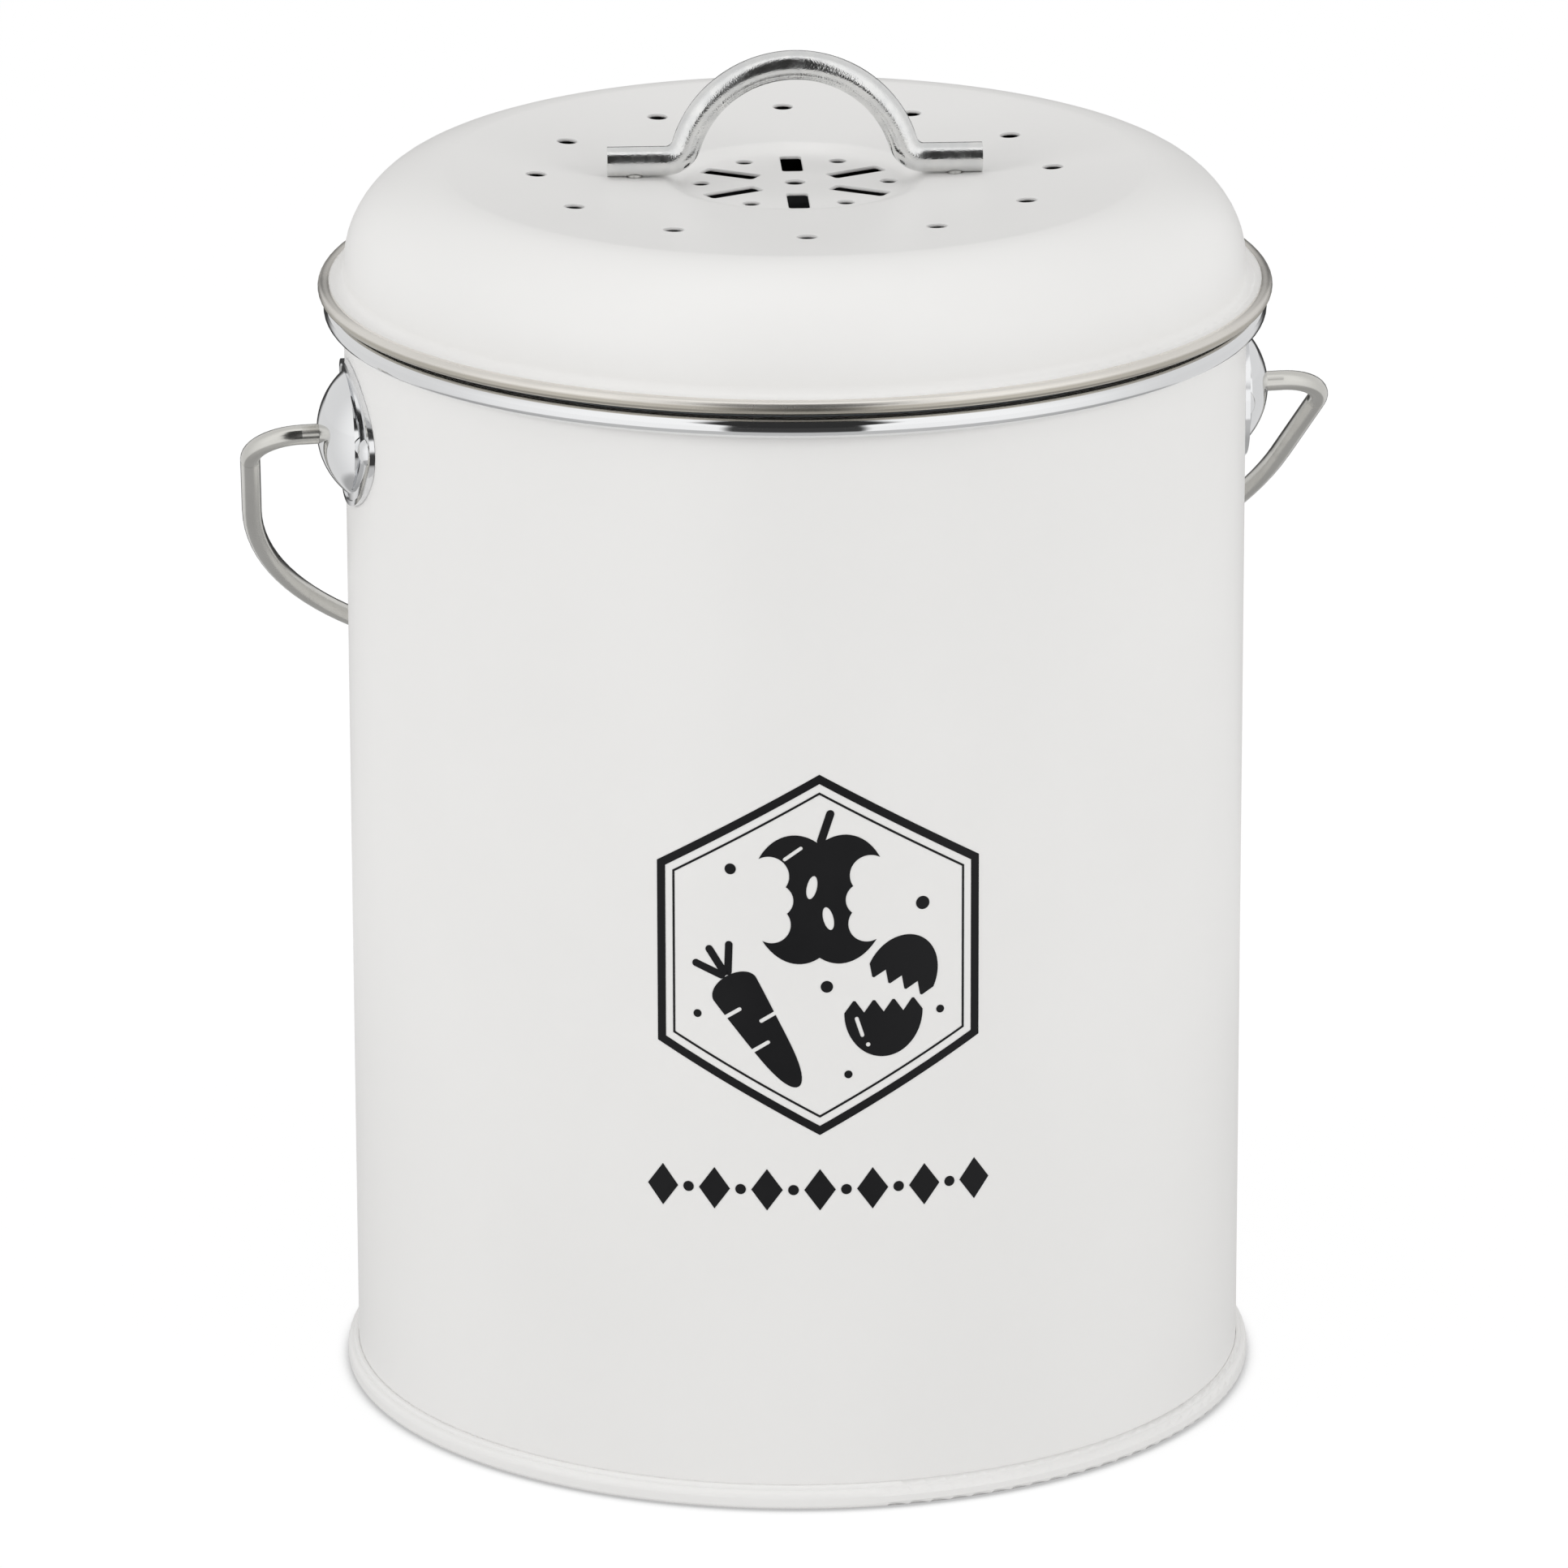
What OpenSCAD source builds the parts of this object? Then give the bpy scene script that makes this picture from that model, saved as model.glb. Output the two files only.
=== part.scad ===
// Round compost caddy: a painted steel bucket with a rolled rim, a swinging bail on two
// riveted ears, a lift-off vented lid with a bent rod handle, a charcoal filter carried
// in the lid, and a removable inner bucket. Millimetres, +Z up. The origin is on the
// table at the middle of the base, and the bail's pins lie along X.

/* [Body] */
// Outside diameter of the painted body
body_d = 180; // [150:1:210]
// Height from the table to the top of the rim
body_h = 224.8; // [190:0.1:260]
// Thickness of the body sheet
body_t = 0.6; // [0.5:0.1:0.9]

/* [Base] */
// How far the base seam stands out from the body
seam_proud = 2.2; // [1.7:0.1:3.2]
// Height of the base seam's main roll
seam_h = 3.9; // [3.3:0.1:5.5]
// Radius of the small ledge where the body enters the seam
seam_ledge_r = 0.8; // [0.4:0.1:1.2]
// Height of the recessed bottom panel's underside above the table
panel_lift = 3.0; // [2:0.1:5]
// Thickness of the bottom panel's sheet
panel_t = 0.6; // [0.5:0.1:0.9]
// Diameter of the ring pressed into the bottom panel
panel_ring_d = 120; // [60:1:130]
// Height of that ring above the panel
panel_ring_h = 1.2; // [0.8:0.1:1.8]

/* [Rim band] */
// How far the rim band stands out from the body
rim_proud = 4.0; // [3:0.1:5]
// Height of the rim band
rim_h = 4.4; // [3.6:0.1:6]
// Thickness of the rim band's sheet
rim_t = 0.4; // [0.3:0.05:0.6]
// How far the rim band's inner leg reaches below its roll
rim_leg_h = 1.5; // [0.5:0.1:4]

/* [Ears] */
// Distance from the top of the rim down to the bail's pins
pivot_drop = 24.3; // [21:0.1:40]
// Width of an ear plate, straight across
ear_w = 37.4; // [34:0.1:42]
// Height of an ear plate
ear_h = 28.9; // [26:0.1:34]
// Radius of the ear plate's narrow ends
ear_end_r = 11; // [8:0.1:12.5]
// Thickness of the ear's sheet
ear_t = 0.7; // [0.5:0.05:1]
// Width of the raised border round the ear plate
ear_border_w = 1.0; // [0.6:0.1:1.6]
// Height of the raised border above the ear plate
ear_border_h = 0.3; // [0.1:0.05:0.6]
// Diameter of the hollow dome pressed in the ear
dome_d = 24.4; // [20:0.1:25]
// Height of the dome above the ear plate
dome_h = 5.9; // [5:0.1:8]
// Height of the dome's straight foot above the ear plate
dome_foot_h = 0.3; // [0.2:0.1:1]
// Distance between an ear's two rivets, straight across
rivet_pitch = 30; // [29.5:0.1:31.5]
// Diameter of a rivet's round head
rivet_head_d = 5.3; // [4.4:0.1:5.6]
// Height of a rivet's round head
rivet_head_h = 1.3; // [0.9:0.1:2]
// Diameter of a rivet's shank
rivet_d = 3.2; // [2.4:0.1:3.6]
// Diameter of a rivet's clenched head inside the body
rivet_clench_d = 5.6; // [4.5:0.1:7]
// Thickness of a rivet's clenched head
rivet_clench_t = 0.9; // [0.6:0.1:1.2]

/* [Bail] */
// Diameter of the bail's wire
bail_d = 4; // [3:0.1:5]
// Distance from the pins to the middle of the bail's grip
bail_reach = 121.5; // [112:0.1:135]
// Half length of the straight grip between the bail's two big curves
bail_grip_half = 9.3; // [2:0.1:20]
// Radius of the bend next to each ear
bail_corner_r = 9.2; // [6:0.1:12]
// Inward lean of the bail's straight sides in degrees
bail_lean = 6.5; // [0:0.1:10]
// Straight wire between an ear's dome and the bend
bail_stub = 3.3; // [1:0.1:5]
// Diameter of the upset head on each pin, inside the dome
pin_head_d = 6.6; // [5.5:0.1:9]
// Thickness of the upset head on each pin
pin_head_t = 1.8; // [1.2:0.1:2.2]
// Gap between the upset head on each pin and the body
pin_end_gap = 0.95; // [0.5:0.05:1.5]

/* [Lid] */
// How far the lid's rolled edge stands out beyond the body
lid_proud = 5.1; // [4.5:0.1:6]
// How far inside the body's outside the lid's wall stands
lid_wall_in = 0.1; // [0:0.1:1]
// Height of the lid's crown above its flange
lid_rise = 22.45; // [20.5:0.05:30]
// Radius of the lid's big shoulder
lid_shoulder_r = 19.5; // [14:0.1:20]
// Radius of the shallow dish of the lid's top
lid_dish_r = 1000; // [800:10:3000]
// Radius of the cove between the lid's wall and its flange
lid_cove_r = 1.8; // [1:0.1:2.2]
// Thickness of the lid's sheet
lid_t = 0.6; // [0.5:0.1:0.8]
// Diameter of the sunken disc in the middle of the lid
disc_d = 44; // [42.5:0.1:48]
// Depth of the sunken disc below the dish around it
disc_drop = 1.44; // [0.8:0.01:2]
// Width of the soft step round the sunken disc
disc_step_w = 5; // [3.5:0.1:6]
// Diameter of the round section of the lid's rolled edge
trim_d = 2.9; // [2.6:0.05:3.2]
// Thickness of the rolled edge's sheet
trim_t = 0.3; // [0.25:0.05:0.4]
// Width of the rolled edge's round lap over the flange
trim_lap = 0.7; // [0.4:0.1:0.8]
// Turn of the lid on the bucket away from the line of the ears, in degrees
lid_turn = -8.4; // [-45:0.1:45]

/* [Vents] */
// Number of vent holes in the outer ring
vent_count = 12; // [8:1:18]
// Diameter of the ring of vent holes
vent_ring_d = 102.8; // [86:0.1:112]
// Diameter of a vent hole
vent_d = 4; // [2.5:0.1:5]
// Number of slots in the middle rosette, with a small hole between each two
slot_count = 6; // [4:1:6]
// Width of a slot
slot_w = 4.25; // [3:0.05:4.5]
// Distance from the centre to a slot's inner end
slot_start = 8.5; // [8:0.1:11]
// Distance from the centre to a slot's outer end
slot_end = 20.5; // [16:0.1:21]
// Radius of a slot's corners
slot_corner_r = 0.8; // [0.4:0.1:1.4]
// Diameter of the ring of small holes
pip_ring_d = 37.4; // [32:0.1:38]
// Diameter of a small hole
pip_d = 3.4; // [2:0.1:3.8]
// Diameter of the hole in the very middle
centre_d = 4; // [2:0.1:6]

/* [Lid handle] */
// Diameter of the handle's rod
rod_d = 5.9; // [5:0.1:7]
// Radius of the arch, at the middle of the rod
arch_r = 22.5; // [20:0.1:26]
// Height of the arch's top above the feet, at the middle of the rod
arch_rise = 19.2; // [17:0.1:19.9]
// Distance from the centre to where each foot starts
foot_start = 25.8; // [25:0.1:28]
// Distance from the centre to where each foot ends
foot_end = 37.3; // [36.5:0.1:40]
// Distance from the centre to each handle screw
screw_x = 31.9; // [31.5:0.1:33]
// Diameter of a handle screw's thread
screw_d = 3; // [2.5:0.1:3.5]
// Depth of a handle screw in the foot
screw_depth = 4.2; // [3:0.1:4.5]
// Diameter of a handle screw's pan head
screw_head_d = 5.6; // [5:0.1:7]
// Height of a handle screw's pan head
screw_head_h = 2.0; // [1.4:0.1:2.4]
// Outside diameter of a handle washer
washer_d = 9; // [8:0.1:11]
// Thickness of a handle washer
washer_t = 0.8; // [0.5:0.1:1.2]

/* [Filter] */
// Gap between the charcoal pad and the holder's wall round it
pad_gap = 0.8; // [0.4:0.1:3]
// Thickness of the charcoal pad
pad_t = 8; // [5:0.5:9]
// Wall thickness of the filter holder
holder_t = 1.6; // [1.2:0.1:2]
// Thickness of the holder's web between its collar and its spigot
web_t = 1.5; // [1.2:0.1:2]
// Clearance between the holder's spigot and the inner bucket's mouth
spigot_gap = 1.1; // [1:0.1:2]
// How deep the holder's spigot enters the inner bucket
spigot_depth = 3; // [2:0.1:6]
// How far the spigot's lower bead stands out to keep the gasket on
spigot_bead = 0.7; // [0.4:0.1:0.9]
// Height of the spigot's lower bead
spigot_bead_h = 1.2; // [0.8:0.1:1.6]
// Height of the grille's ribs
rib_h = 2.0; // [1.5:0.1:3]
// Width of the grille's ribs
rib_w = 1.8; // [1.2:0.1:2.4]
// Number of rings in the grille
ring_count = 4; // [2:1:5]
// Number of spokes in the grille
spoke_count = 16; // [8:2:24]
// Diameter of the boss in the middle of the grille
hub_d = 18; // [12:1:24]
// Number of finger notches in the holder's cup wall
notch_count = 4; // [2:1:6]
// Width of a finger notch
notch_w = 18; // [12:1:24]
// Depth of a finger notch
notch_h = 5; // [3:0.5:6]
// Thickness of the lid's gasket
gasket_t = 1.45; // [1.2:0.05:1.8]
// How far the gasket's edge lies inside the edge of the inner bucket's lip
gasket_in = 0.2; // [0:0.1:1.5]

/* [Inner bucket] */
// Wall thickness of the inner bucket
liner_t = 1.2; // [1:0.1:1.6]
// Gap between the inner bucket's mouth and the inside of the body
liner_mouth_gap = 3.7; // [3.2:0.1:8]
// How much narrower the inner bucket's bottom is than its mouth, on each side
liner_taper = 8; // [4:0.5:16]
// Height of the inner bucket's bottom above the table
liner_lift = 8; // [6.5:0.5:14]
// Height of the foot ring under the inner bucket
liner_foot_h = 1; // [0.5:0.1:1.2]
// Radius of the inner bucket's bottom edge
liner_edge_r = 8; // [4:0.5:12]
// Gap between the edge of the inner bucket's lip and the lid's rolled edge
lip_edge_gap = 0.7; // [0.4:0.1:1.6]
// Thickness of the inner bucket's lip
liner_lip_t = 1.2; // [1:0.1:1.4]
// Width of each finger hole in the inner bucket
grip_w = 34; // [24:1:44]
// Height of each finger hole in the inner bucket
grip_h = 12; // [8:1:16]
// Distance from the lip down to the finger holes
grip_drop = 10; // [8:1:18]

/* [Clearances] */
// Gap between curved faces of pieces that are fixed together
seat_gap = 0.05; // [0.02:0.01:0.1]
// Radial clearance of the bail's pins in the ears
pin_gap = 0.08; // [0.03:0.01:0.1]
// Clearance round fasteners and between fitted pieces
fit_gap = 0.1; // [0.05:0.01:0.2]
// Gap between the resting bail and the body
rest_gap = 0.3; // [0.2:0.05:0.6]
// Hairline between a soft piece and the flat faces it lies on
flat_gap = 0.01; // [0.01:0.01:0.05]

/* [Hidden] */
$fn = 96;
cut = 1; // how far cutting tools run past a face
lap_len = 0.25; // how far a bend's ends reach into the rod on either side
lap_thin = 0.02; // how much thinner a bend is than the rod, so that the two join cleanly

paint_white = [0.90, 0.895, 0.885];
chrome_grey = [0.80, 0.81, 0.82];
steel_grey = [0.72, 0.73, 0.74];
rod_grey = [0.66, 0.67, 0.68];
plastic_grey = [0.46, 0.48, 0.49];
holder_black = [0.12, 0.12, 0.13];
charcoal = [0.05, 0.05, 0.055];
silicone_grey = [0.24, 0.22, 0.20];

// Body and rim
body_r = body_d / 2;
body_in_r = body_r - body_t;
rim_r = body_r + rim_proud;
rim_low_z = body_h - rim_h;
rim_roll_r = rim_h / 2;
rim_leg_r = body_in_r - seat_gap - rim_t;
wall_top_z = body_h - rim_t;
wall_low_z = 2 * panel_t;

// Ears and their domes
pivot_z = body_h - pivot_drop;
ear_in_r = body_r + seat_gap;
plate_r = ear_in_r + ear_t;
dome_r = dome_d / 2;
dome_x = plate_r + dome_h;
dome_side_h = dome_h - dome_foot_h;
dome_foot_x = dome_x - dome_side_h;
rivet_turn = asin(rivet_pitch / 2 / plate_r);
clench_x = sqrt(body_in_r * body_in_r - rivet_clench_d * rivet_clench_d / 4) - seat_gap;

// Bail, drawn in its own plane: X across, reach downwards
wire_r = bail_d / 2;
bend_x = dome_x + bail_stub;
curve_x = bail_grip_half;
curve_r = (bail_corner_r + (bend_x - curve_x) * cos(bail_lean)
          - (bail_reach - bail_corner_r) * sin(bail_lean)) / (1 - sin(bail_lean));
curve_low = bail_reach - curve_r;
side_len = (bend_x - curve_x) * sin(bail_lean) + (curve_low - bail_corner_r) * cos(bail_lean);
bail_hang = asin((body_r + wire_r + rest_gap) / bail_reach);
pin_head_x = body_r + pin_end_gap + pin_head_t;

// Stack under the lid: inner bucket's lip, gasket, flange
lip_top_z = body_h + liner_lip_t;
flange_low_z = lip_top_z + gasket_t;
flange_z = flange_low_z + lid_t;
crown_z = flange_z + lid_rise;
lid_wall_r = body_r - lid_wall_in;
lid_inner_r = lid_wall_r - lid_t;
shoulder_x = lid_wall_r - lid_shoulder_r;
shoulder_z = crown_z - lid_shoulder_r;
cove_x = lid_wall_r + lid_cove_r;
cove_z = flange_z + lid_cove_r;
trim_roll_r = trim_d / 2;
trim_x = body_r + lid_proud - trim_roll_r;
trim_z = flange_z + trim_t - trim_roll_r;

// Dish of the lid's top, tangent to the shoulder
dish_slope = asin(shoulder_x / (lid_dish_r + lid_shoulder_r));
dish_z = shoulder_z + (lid_dish_r + lid_shoulder_r) * cos(dish_slope);
disc_r = disc_d / 2;
step_end_r = disc_r + disc_step_w;
disc_z = dish_height(step_end_r) - disc_drop;
step_angle = 2 * atan(disc_drop / disc_step_w);
step_r = disc_step_w / 2 / sin(step_angle);

// Lid handle
foot_z = dish_height(foot_end) + rod_d / 2;
arch_z = foot_z + arch_rise - arch_r;
arch_h = arch_r - arch_rise;
bend_r = (foot_start * foot_start + arch_h * arch_h - arch_r * arch_r) / (2 * (arch_r - arch_h));
bend_angle = acos((bend_r + arch_h) / (arch_r + bend_r));
washer_top_z = dish_height(screw_x - washer_d / 2) - lid_t - seat_gap;
washer_low_z = washer_top_z - washer_t;

// Inner bucket
mouth_r = body_in_r - liner_mouth_gap - liner_t;
bottom_r = mouth_r - liner_taper;
lip_r = trim_x - trim_roll_r - lip_edge_gap;

// Filter holder
spigot_r = mouth_r - spigot_gap;
spigot_low_z = body_h - spigot_depth;
collar_r = lid_inner_r - fit_gap;
grille_z = shoulder_z;
pad_z = grille_z + rib_h;
cup_top_z = pad_z + pad_t * 7 / 8;
cup_in_r = spigot_r - holder_t;
pad_r = cup_in_r - pad_gap;
gasket_in_r = spigot_r + 2 * fit_gap;
gasket_out_r = lip_r - gasket_in;

// Height of the lid's dished top at a distance from the centre
function dish_height(r) = dish_z - sqrt(lid_dish_r * lid_dish_r - r * r);

// A round tube standing on z = 0
module tube(r_out, r_in, h) {
    difference() {
        cylinder(r = r_out, h = h);
        translate([0, 0, -cut]) cylinder(r = r_in, h = h + 2 * cut);
    }
}

// A solid of revolution from a half outline given in (radius, height)
module revolve() {
    rotate_extrude($fn = 180) children();
}

// An upright rectangle in (radius, height)
module block(r0, r1, z0, z1) {
    translate([r0, z0]) square([r1 - r0, z1 - z0]);
}

// A disc in (radius, height)
module dot(r, z, radius) {
    translate([r, z]) circle(r = radius);
}

// ---- Bucket body ----

// Painted sheet-steel cylinder, pierced for the ears' rivets
module body_shell() {
    color(paint_white)
    difference() {
        translate([0, 0, wall_low_z]) tube(body_r, body_in_r, wall_top_z - wall_low_z);
        for (side = [0, 180], turn = [-rivet_turn, rivet_turn])
            rotate([0, 0, side + turn]) translate([body_in_r - cut, 0, pivot_z])
                rotate([0, 90, 0]) cylinder(d = rivet_d + fit_gap, h = body_t + 2 * cut, $fn = 32);
    }
}

// Stamped bottom with the rolled seam that grips the body's lower edge
module base_panel() {
    top_roll = 1.5;
    low_roll = 1.1;
    ledge_in = 0.5;
    out_r = body_r + seam_proud;
    leg_r = body_in_r - seat_gap;
    color(paint_white)
    revolve() difference() {
        union() {
            // Seam: upper ledge, main roll and rounded foot
            dot(body_r + seam_ledge_r - ledge_in, seam_h, seam_ledge_r);
            dot(out_r - top_roll, seam_h - top_roll, top_roll);
            dot(out_r - low_roll, low_roll, low_roll);
            block(out_r - 2 * low_roll, out_r, low_roll, seam_h - top_roll);
            block(leg_r - panel_t, out_r - top_roll, panel_t, seam_h);
            block(leg_r - panel_t, out_r - low_roll, 0, panel_t);
            block(leg_r - panel_t, leg_r, 0, panel_lift + 2 * panel_t);
            // Panel with a pressed ring
            block(0, leg_r, panel_lift, panel_lift + panel_t);
            translate([panel_ring_d / 2, panel_lift + panel_t]) intersection() {
                translate([0, panel_ring_h - ring_r()]) circle(r = ring_r());
                translate([-ring_r(), 0]) square([2 * ring_r(), panel_ring_h + cut]);
            }
        }
        // Hollow underside of the pressed ring
        translate([panel_ring_d / 2, panel_lift]) intersection() {
            translate([0, panel_ring_h - ring_r()]) circle(r = ring_r());
            translate([-ring_r(), -cut]) square([2 * ring_r(), panel_ring_h + 2 * cut]);
        }
        // Slot for the body's lower edge
        block(leg_r, body_r + seat_gap, wall_low_z, seam_h + seam_ledge_r + cut);
    }
}

// Radius of the pressed ring's round section
function ring_r() = 4 * panel_ring_h;

// Rolled chrome band gripping the body's top edge
module rim_band() {
    roll_x = rim_r - rim_roll_r;
    color(chrome_grey)
    revolve() difference() {
        union() {
            dot(roll_x, body_h - rim_roll_r, rim_roll_r);
            block(rim_leg_r, roll_x, rim_low_z, body_h);
            block(rim_leg_r, rim_leg_r + rim_t, rim_low_z - rim_leg_h, body_h);
        }
        // Hollow of the roll
        dot(roll_x, body_h - rim_roll_r, rim_roll_r - rim_t);
        block(rim_leg_r + rim_t, roll_x, rim_low_z + rim_t, wall_top_z);
        // The body's top edge enters here
        block(rim_leg_r + rim_t, body_r + seat_gap, rim_low_z - cut, wall_top_z);
    }
}

// ---- Ears and rivets ----

// Oval with two narrow and two broad arcs that meet smoothly
module oval(w, h, end_r) {
    a = w / 2 - end_r;
    b = h / 2;
    side_r = (a * a + b * b - end_r * end_r) / (2 * (b - end_r));
    reach = a * side_r / (side_r - end_r);
    intersection() {
        translate([0, side_r - b]) circle(r = side_r);
        translate([0, b - side_r]) circle(r = side_r);
        square([2 * reach, h], center = true);
    }
    for (side = [-1, 1]) translate([side * a, 0]) circle(r = end_r);
}

// A shape pushed outwards along X from the middle of the body, at the pins' height
module outward() {
    translate([0, 0, pivot_z]) rotate([90, 0, 90])
        linear_extrude(height = dome_x + cut) children();
}

// Half outline of the dome in (radius, height above its foot), shrunk by inset
module dome_outline(inset) {
    crown_r = (dome_r * dome_r + dome_side_h * dome_side_h) / (2 * dome_side_h);
    intersection() {
        dot(0, dome_side_h - crown_r, crown_r - inset);
        block(0, dome_r - inset, -dome_r, dome_side_h);
    }
}

// The dome standing on the +X side
module dome(inset) {
    translate([dome_foot_x, 0, pivot_z]) rotate([0, 90, 0])
        rotate_extrude($fn = 96) dome_outline(inset);
}

// Pressed ear: a plate wrapped on the body, a raised border and a hollow dome
module ear() {
    plate_h = ear_h + 2;
    color(chrome_grey)
    difference() {
        union() {
            intersection() {
                difference() {
                    translate([0, 0, pivot_z - plate_h / 2])
                        tube(plate_r + ear_border_h, ear_in_r, plate_h);
                    intersection() {
                        translate([0, 0, pivot_z - plate_h / 2 - cut])
                            tube(plate_r + ear_border_h + cut, plate_r, plate_h + 2 * cut);
                        outward() oval(ear_w - 2 * ear_border_w, ear_h - 2 * ear_border_w,
                                       ear_end_r - ear_border_w);
                    }
                }
                outward() oval(ear_w, ear_h, ear_end_r);
            }
            difference() {
                dome(0);
                translate([0, 0, pivot_z - plate_h / 2 - cut])
                    cylinder(r = ear_in_r + ear_t / 2, h = plate_h + 2 * cut);
            }
        }
        dome(ear_t);
        translate([plate_r, 0, pivot_z]) rotate([0, 90, 0])
            cylinder(r = wire_r + pin_gap, h = dome_h + cut, $fn = 48);
        for (turn = [-rivet_turn, rivet_turn])
            rotate([0, 0, turn]) translate([ear_in_r - cut, 0, pivot_z]) rotate([0, 90, 0])
                cylinder(d = rivet_d + fit_gap, h = ear_t + 2 * cut, $fn = 32);
    }
}

module ear_left() {
    rotate([0, 0, 180]) ear();
}

module ear_right() {
    ear();
}

// Round-headed rivet through the ear plate and the body, at an angle round the body
module ear_rivet(angle) {
    cap_r = (rivet_head_d * rivet_head_d / 4 + rivet_head_h * rivet_head_h) / (2 * rivet_head_h);
    color(chrome_grey)
    rotate([0, 0, angle]) translate([0, 0, pivot_z]) rotate([0, 90, 0])
        rotate_extrude($fn = 48) {
            intersection() {
                dot(0, plate_r + seat_gap + rivet_head_h - cap_r, cap_r);
                block(0, cap_r, plate_r + seat_gap, plate_r + seat_gap + rivet_head_h);
            }
            block(0, rivet_d / 2, clench_x - rivet_clench_t, plate_r + rivet_head_h / 2);
            block(0, rivet_clench_d / 2, clench_x - rivet_clench_t, clench_x);
        }
}

module rivet_left_front() {
    ear_rivet(180 + rivet_turn);
}

module rivet_left_back() {
    ear_rivet(180 - rivet_turn);
}

module rivet_right_front() {
    ear_rivet(-rivet_turn);
}

module rivet_right_back() {
    ear_rivet(rivet_turn);
}

// ---- Bail ----

// A bend of round rod in the XZ plane about a centre, from one angle over a sweep
module rod_bend(x, z, bend, radius, from, sweep) {
    translate([x, 0, z]) rotate([90, 0, 0])
        rotate_extrude(angle = sweep, start = from, $fn = 180)
            translate([bend, 0]) circle(r = radius, $fn = 48);
}

// A straight round rod in the XZ plane from a point, at an angle from +X
module rod_straight(x, z, angle, length, radius) {
    translate([x, 0, z]) rotate([0, 90 - angle, 0]) cylinder(r = radius, h = length, $fn = 48);
}

// A bend a hair thinner than the rod, whose ends reach a little way into its neighbours
module rod_bend_lapped(x, z, bend, radius, from, sweep) {
    reach = lap_len / bend * 180 / PI;
    rod_bend(x, z, bend, radius - lap_thin, from - reach, sweep + 2 * reach);
}

// Half of the bail in its own plane, reaching down from the pins
module bail_half() {
    side_x = bend_x + bail_corner_r * cos(bail_lean);
    side_z = -bail_corner_r * (1 + sin(bail_lean));
    rod_straight(pin_head_x - pin_head_t, 0, 0, bend_x - pin_head_x + pin_head_t, wire_r);
    rod_straight(pin_head_x - pin_head_t, 0, 0, pin_head_t, pin_head_d / 2);
    rod_bend_lapped(bend_x, -bail_corner_r, bail_corner_r, wire_r, -bail_lean, 90 + bail_lean);
    rod_straight(side_x, side_z, -90 - bail_lean, side_len, wire_r);
    rod_bend_lapped(curve_x, -curve_low, curve_r, wire_r, -90, 90 - bail_lean);
    rod_straight(0, -bail_reach, 0, curve_x, wire_r);
}

// Stainless wire bail, hanging behind the body with its grip resting on the back
module bail() {
    color(steel_grey)
    translate([0, 0, pivot_z]) rotate([bail_hang, 0, 0]) {
        bail_half();
        mirror([1, 0, 0]) bail_half();
    }
}

// ---- Lid ----

// Half outline of the space under the lid's top surface, shrunk by inset
module lid_outline(inset) {
    floor_z = flange_low_z - cut;
    mid_r = disc_r + disc_step_w / 2;
    mid_z = disc_z + disc_drop / 2;
    // Sunken disc
    block(0, disc_r, floor_z, disc_z - inset);
    // Lower half of the soft step, hollow side up
    difference() {
        block(disc_r, mid_r, floor_z, mid_z);
        dot(disc_r, disc_z + step_r, step_r + inset);
    }
    // Upper half of the soft step, round side up
    intersection() {
        dot(step_end_r, disc_z + disc_drop - step_r, step_r - inset);
        block(mid_r, step_end_r, floor_z, crown_z);
    }
    block(mid_r, step_end_r, floor_z, mid_z - inset);
    // Shallow dish up to the shoulder
    difference() {
        block(step_end_r, shoulder_x, floor_z, crown_z);
        dot(0, dish_z, lid_dish_r + inset);
    }
    dot(shoulder_x, shoulder_z, lid_shoulder_r - inset);
    block(shoulder_x, lid_wall_r - inset, floor_z, shoulder_z);
    // Cove out to the flange
    difference() {
        block(shoulder_x, cove_x, floor_z, cove_z);
        dot(cove_x, cove_z, lid_cove_r + inset);
    }
}

// The lid's whole sheet in (radius, height)
module lid_section() {
    difference() {
        union() {
            lid_outline(0);
            block(cove_x - cut, trim_x - seat_gap, flange_low_z - cut, flange_z);
        }
        lid_outline(lid_t);
        block(0, trim_x + cut, crown_z - 3 * lid_shoulder_r, flange_low_z);
    }
}

// A slot of the rosette, along +X
module rosette_slot() {
    r = slot_corner_r;
    for (x = [slot_start + r, slot_end - r], y = [r - slot_w / 2, slot_w / 2 - r])
        translate([x, y]) circle(r = r, $fn = 32);
    translate([slot_start + r, -slot_w / 2]) square([slot_end - slot_start - 2 * r, slot_w]);
    translate([slot_start, r - slot_w / 2]) square([slot_end - slot_start, slot_w - 2 * r]);
}

// Everything that is pierced through the lid, seen from above
module lid_piercings() {
    circle(d = centre_d, $fn = 48);
    for (i = [0 : slot_count - 1]) rotate(90 + i * 360 / slot_count) {
        rosette_slot();
        rotate(180 / slot_count) translate([pip_ring_d / 2, 0]) circle(d = pip_d, $fn = 48);
    }
    for (i = [0 : vent_count - 1]) rotate(90 - i * 360 / vent_count)
        translate([vent_ring_d / 2, 0]) circle(d = vent_d, $fn = 48);
    for (side = [-1, 1]) translate([side * screw_x, 0])
        circle(d = screw_d + 2 * fit_gap, $fn = 32);
}

// Everything on the lid is drawn along X and turned as the lid lies on the bucket
module on_lid() {
    rotate([0, 0, lid_turn]) children();
}

// Pressed and painted lid with its rosette and ring of vents
module lid_shell() {
    color(paint_white)
    on_lid() difference() {
        revolve() lid_section();
        translate([0, 0, disc_z - 3 * disc_drop]) linear_extrude(height = 6 * disc_drop)
            lid_piercings();
    }
}

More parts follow.
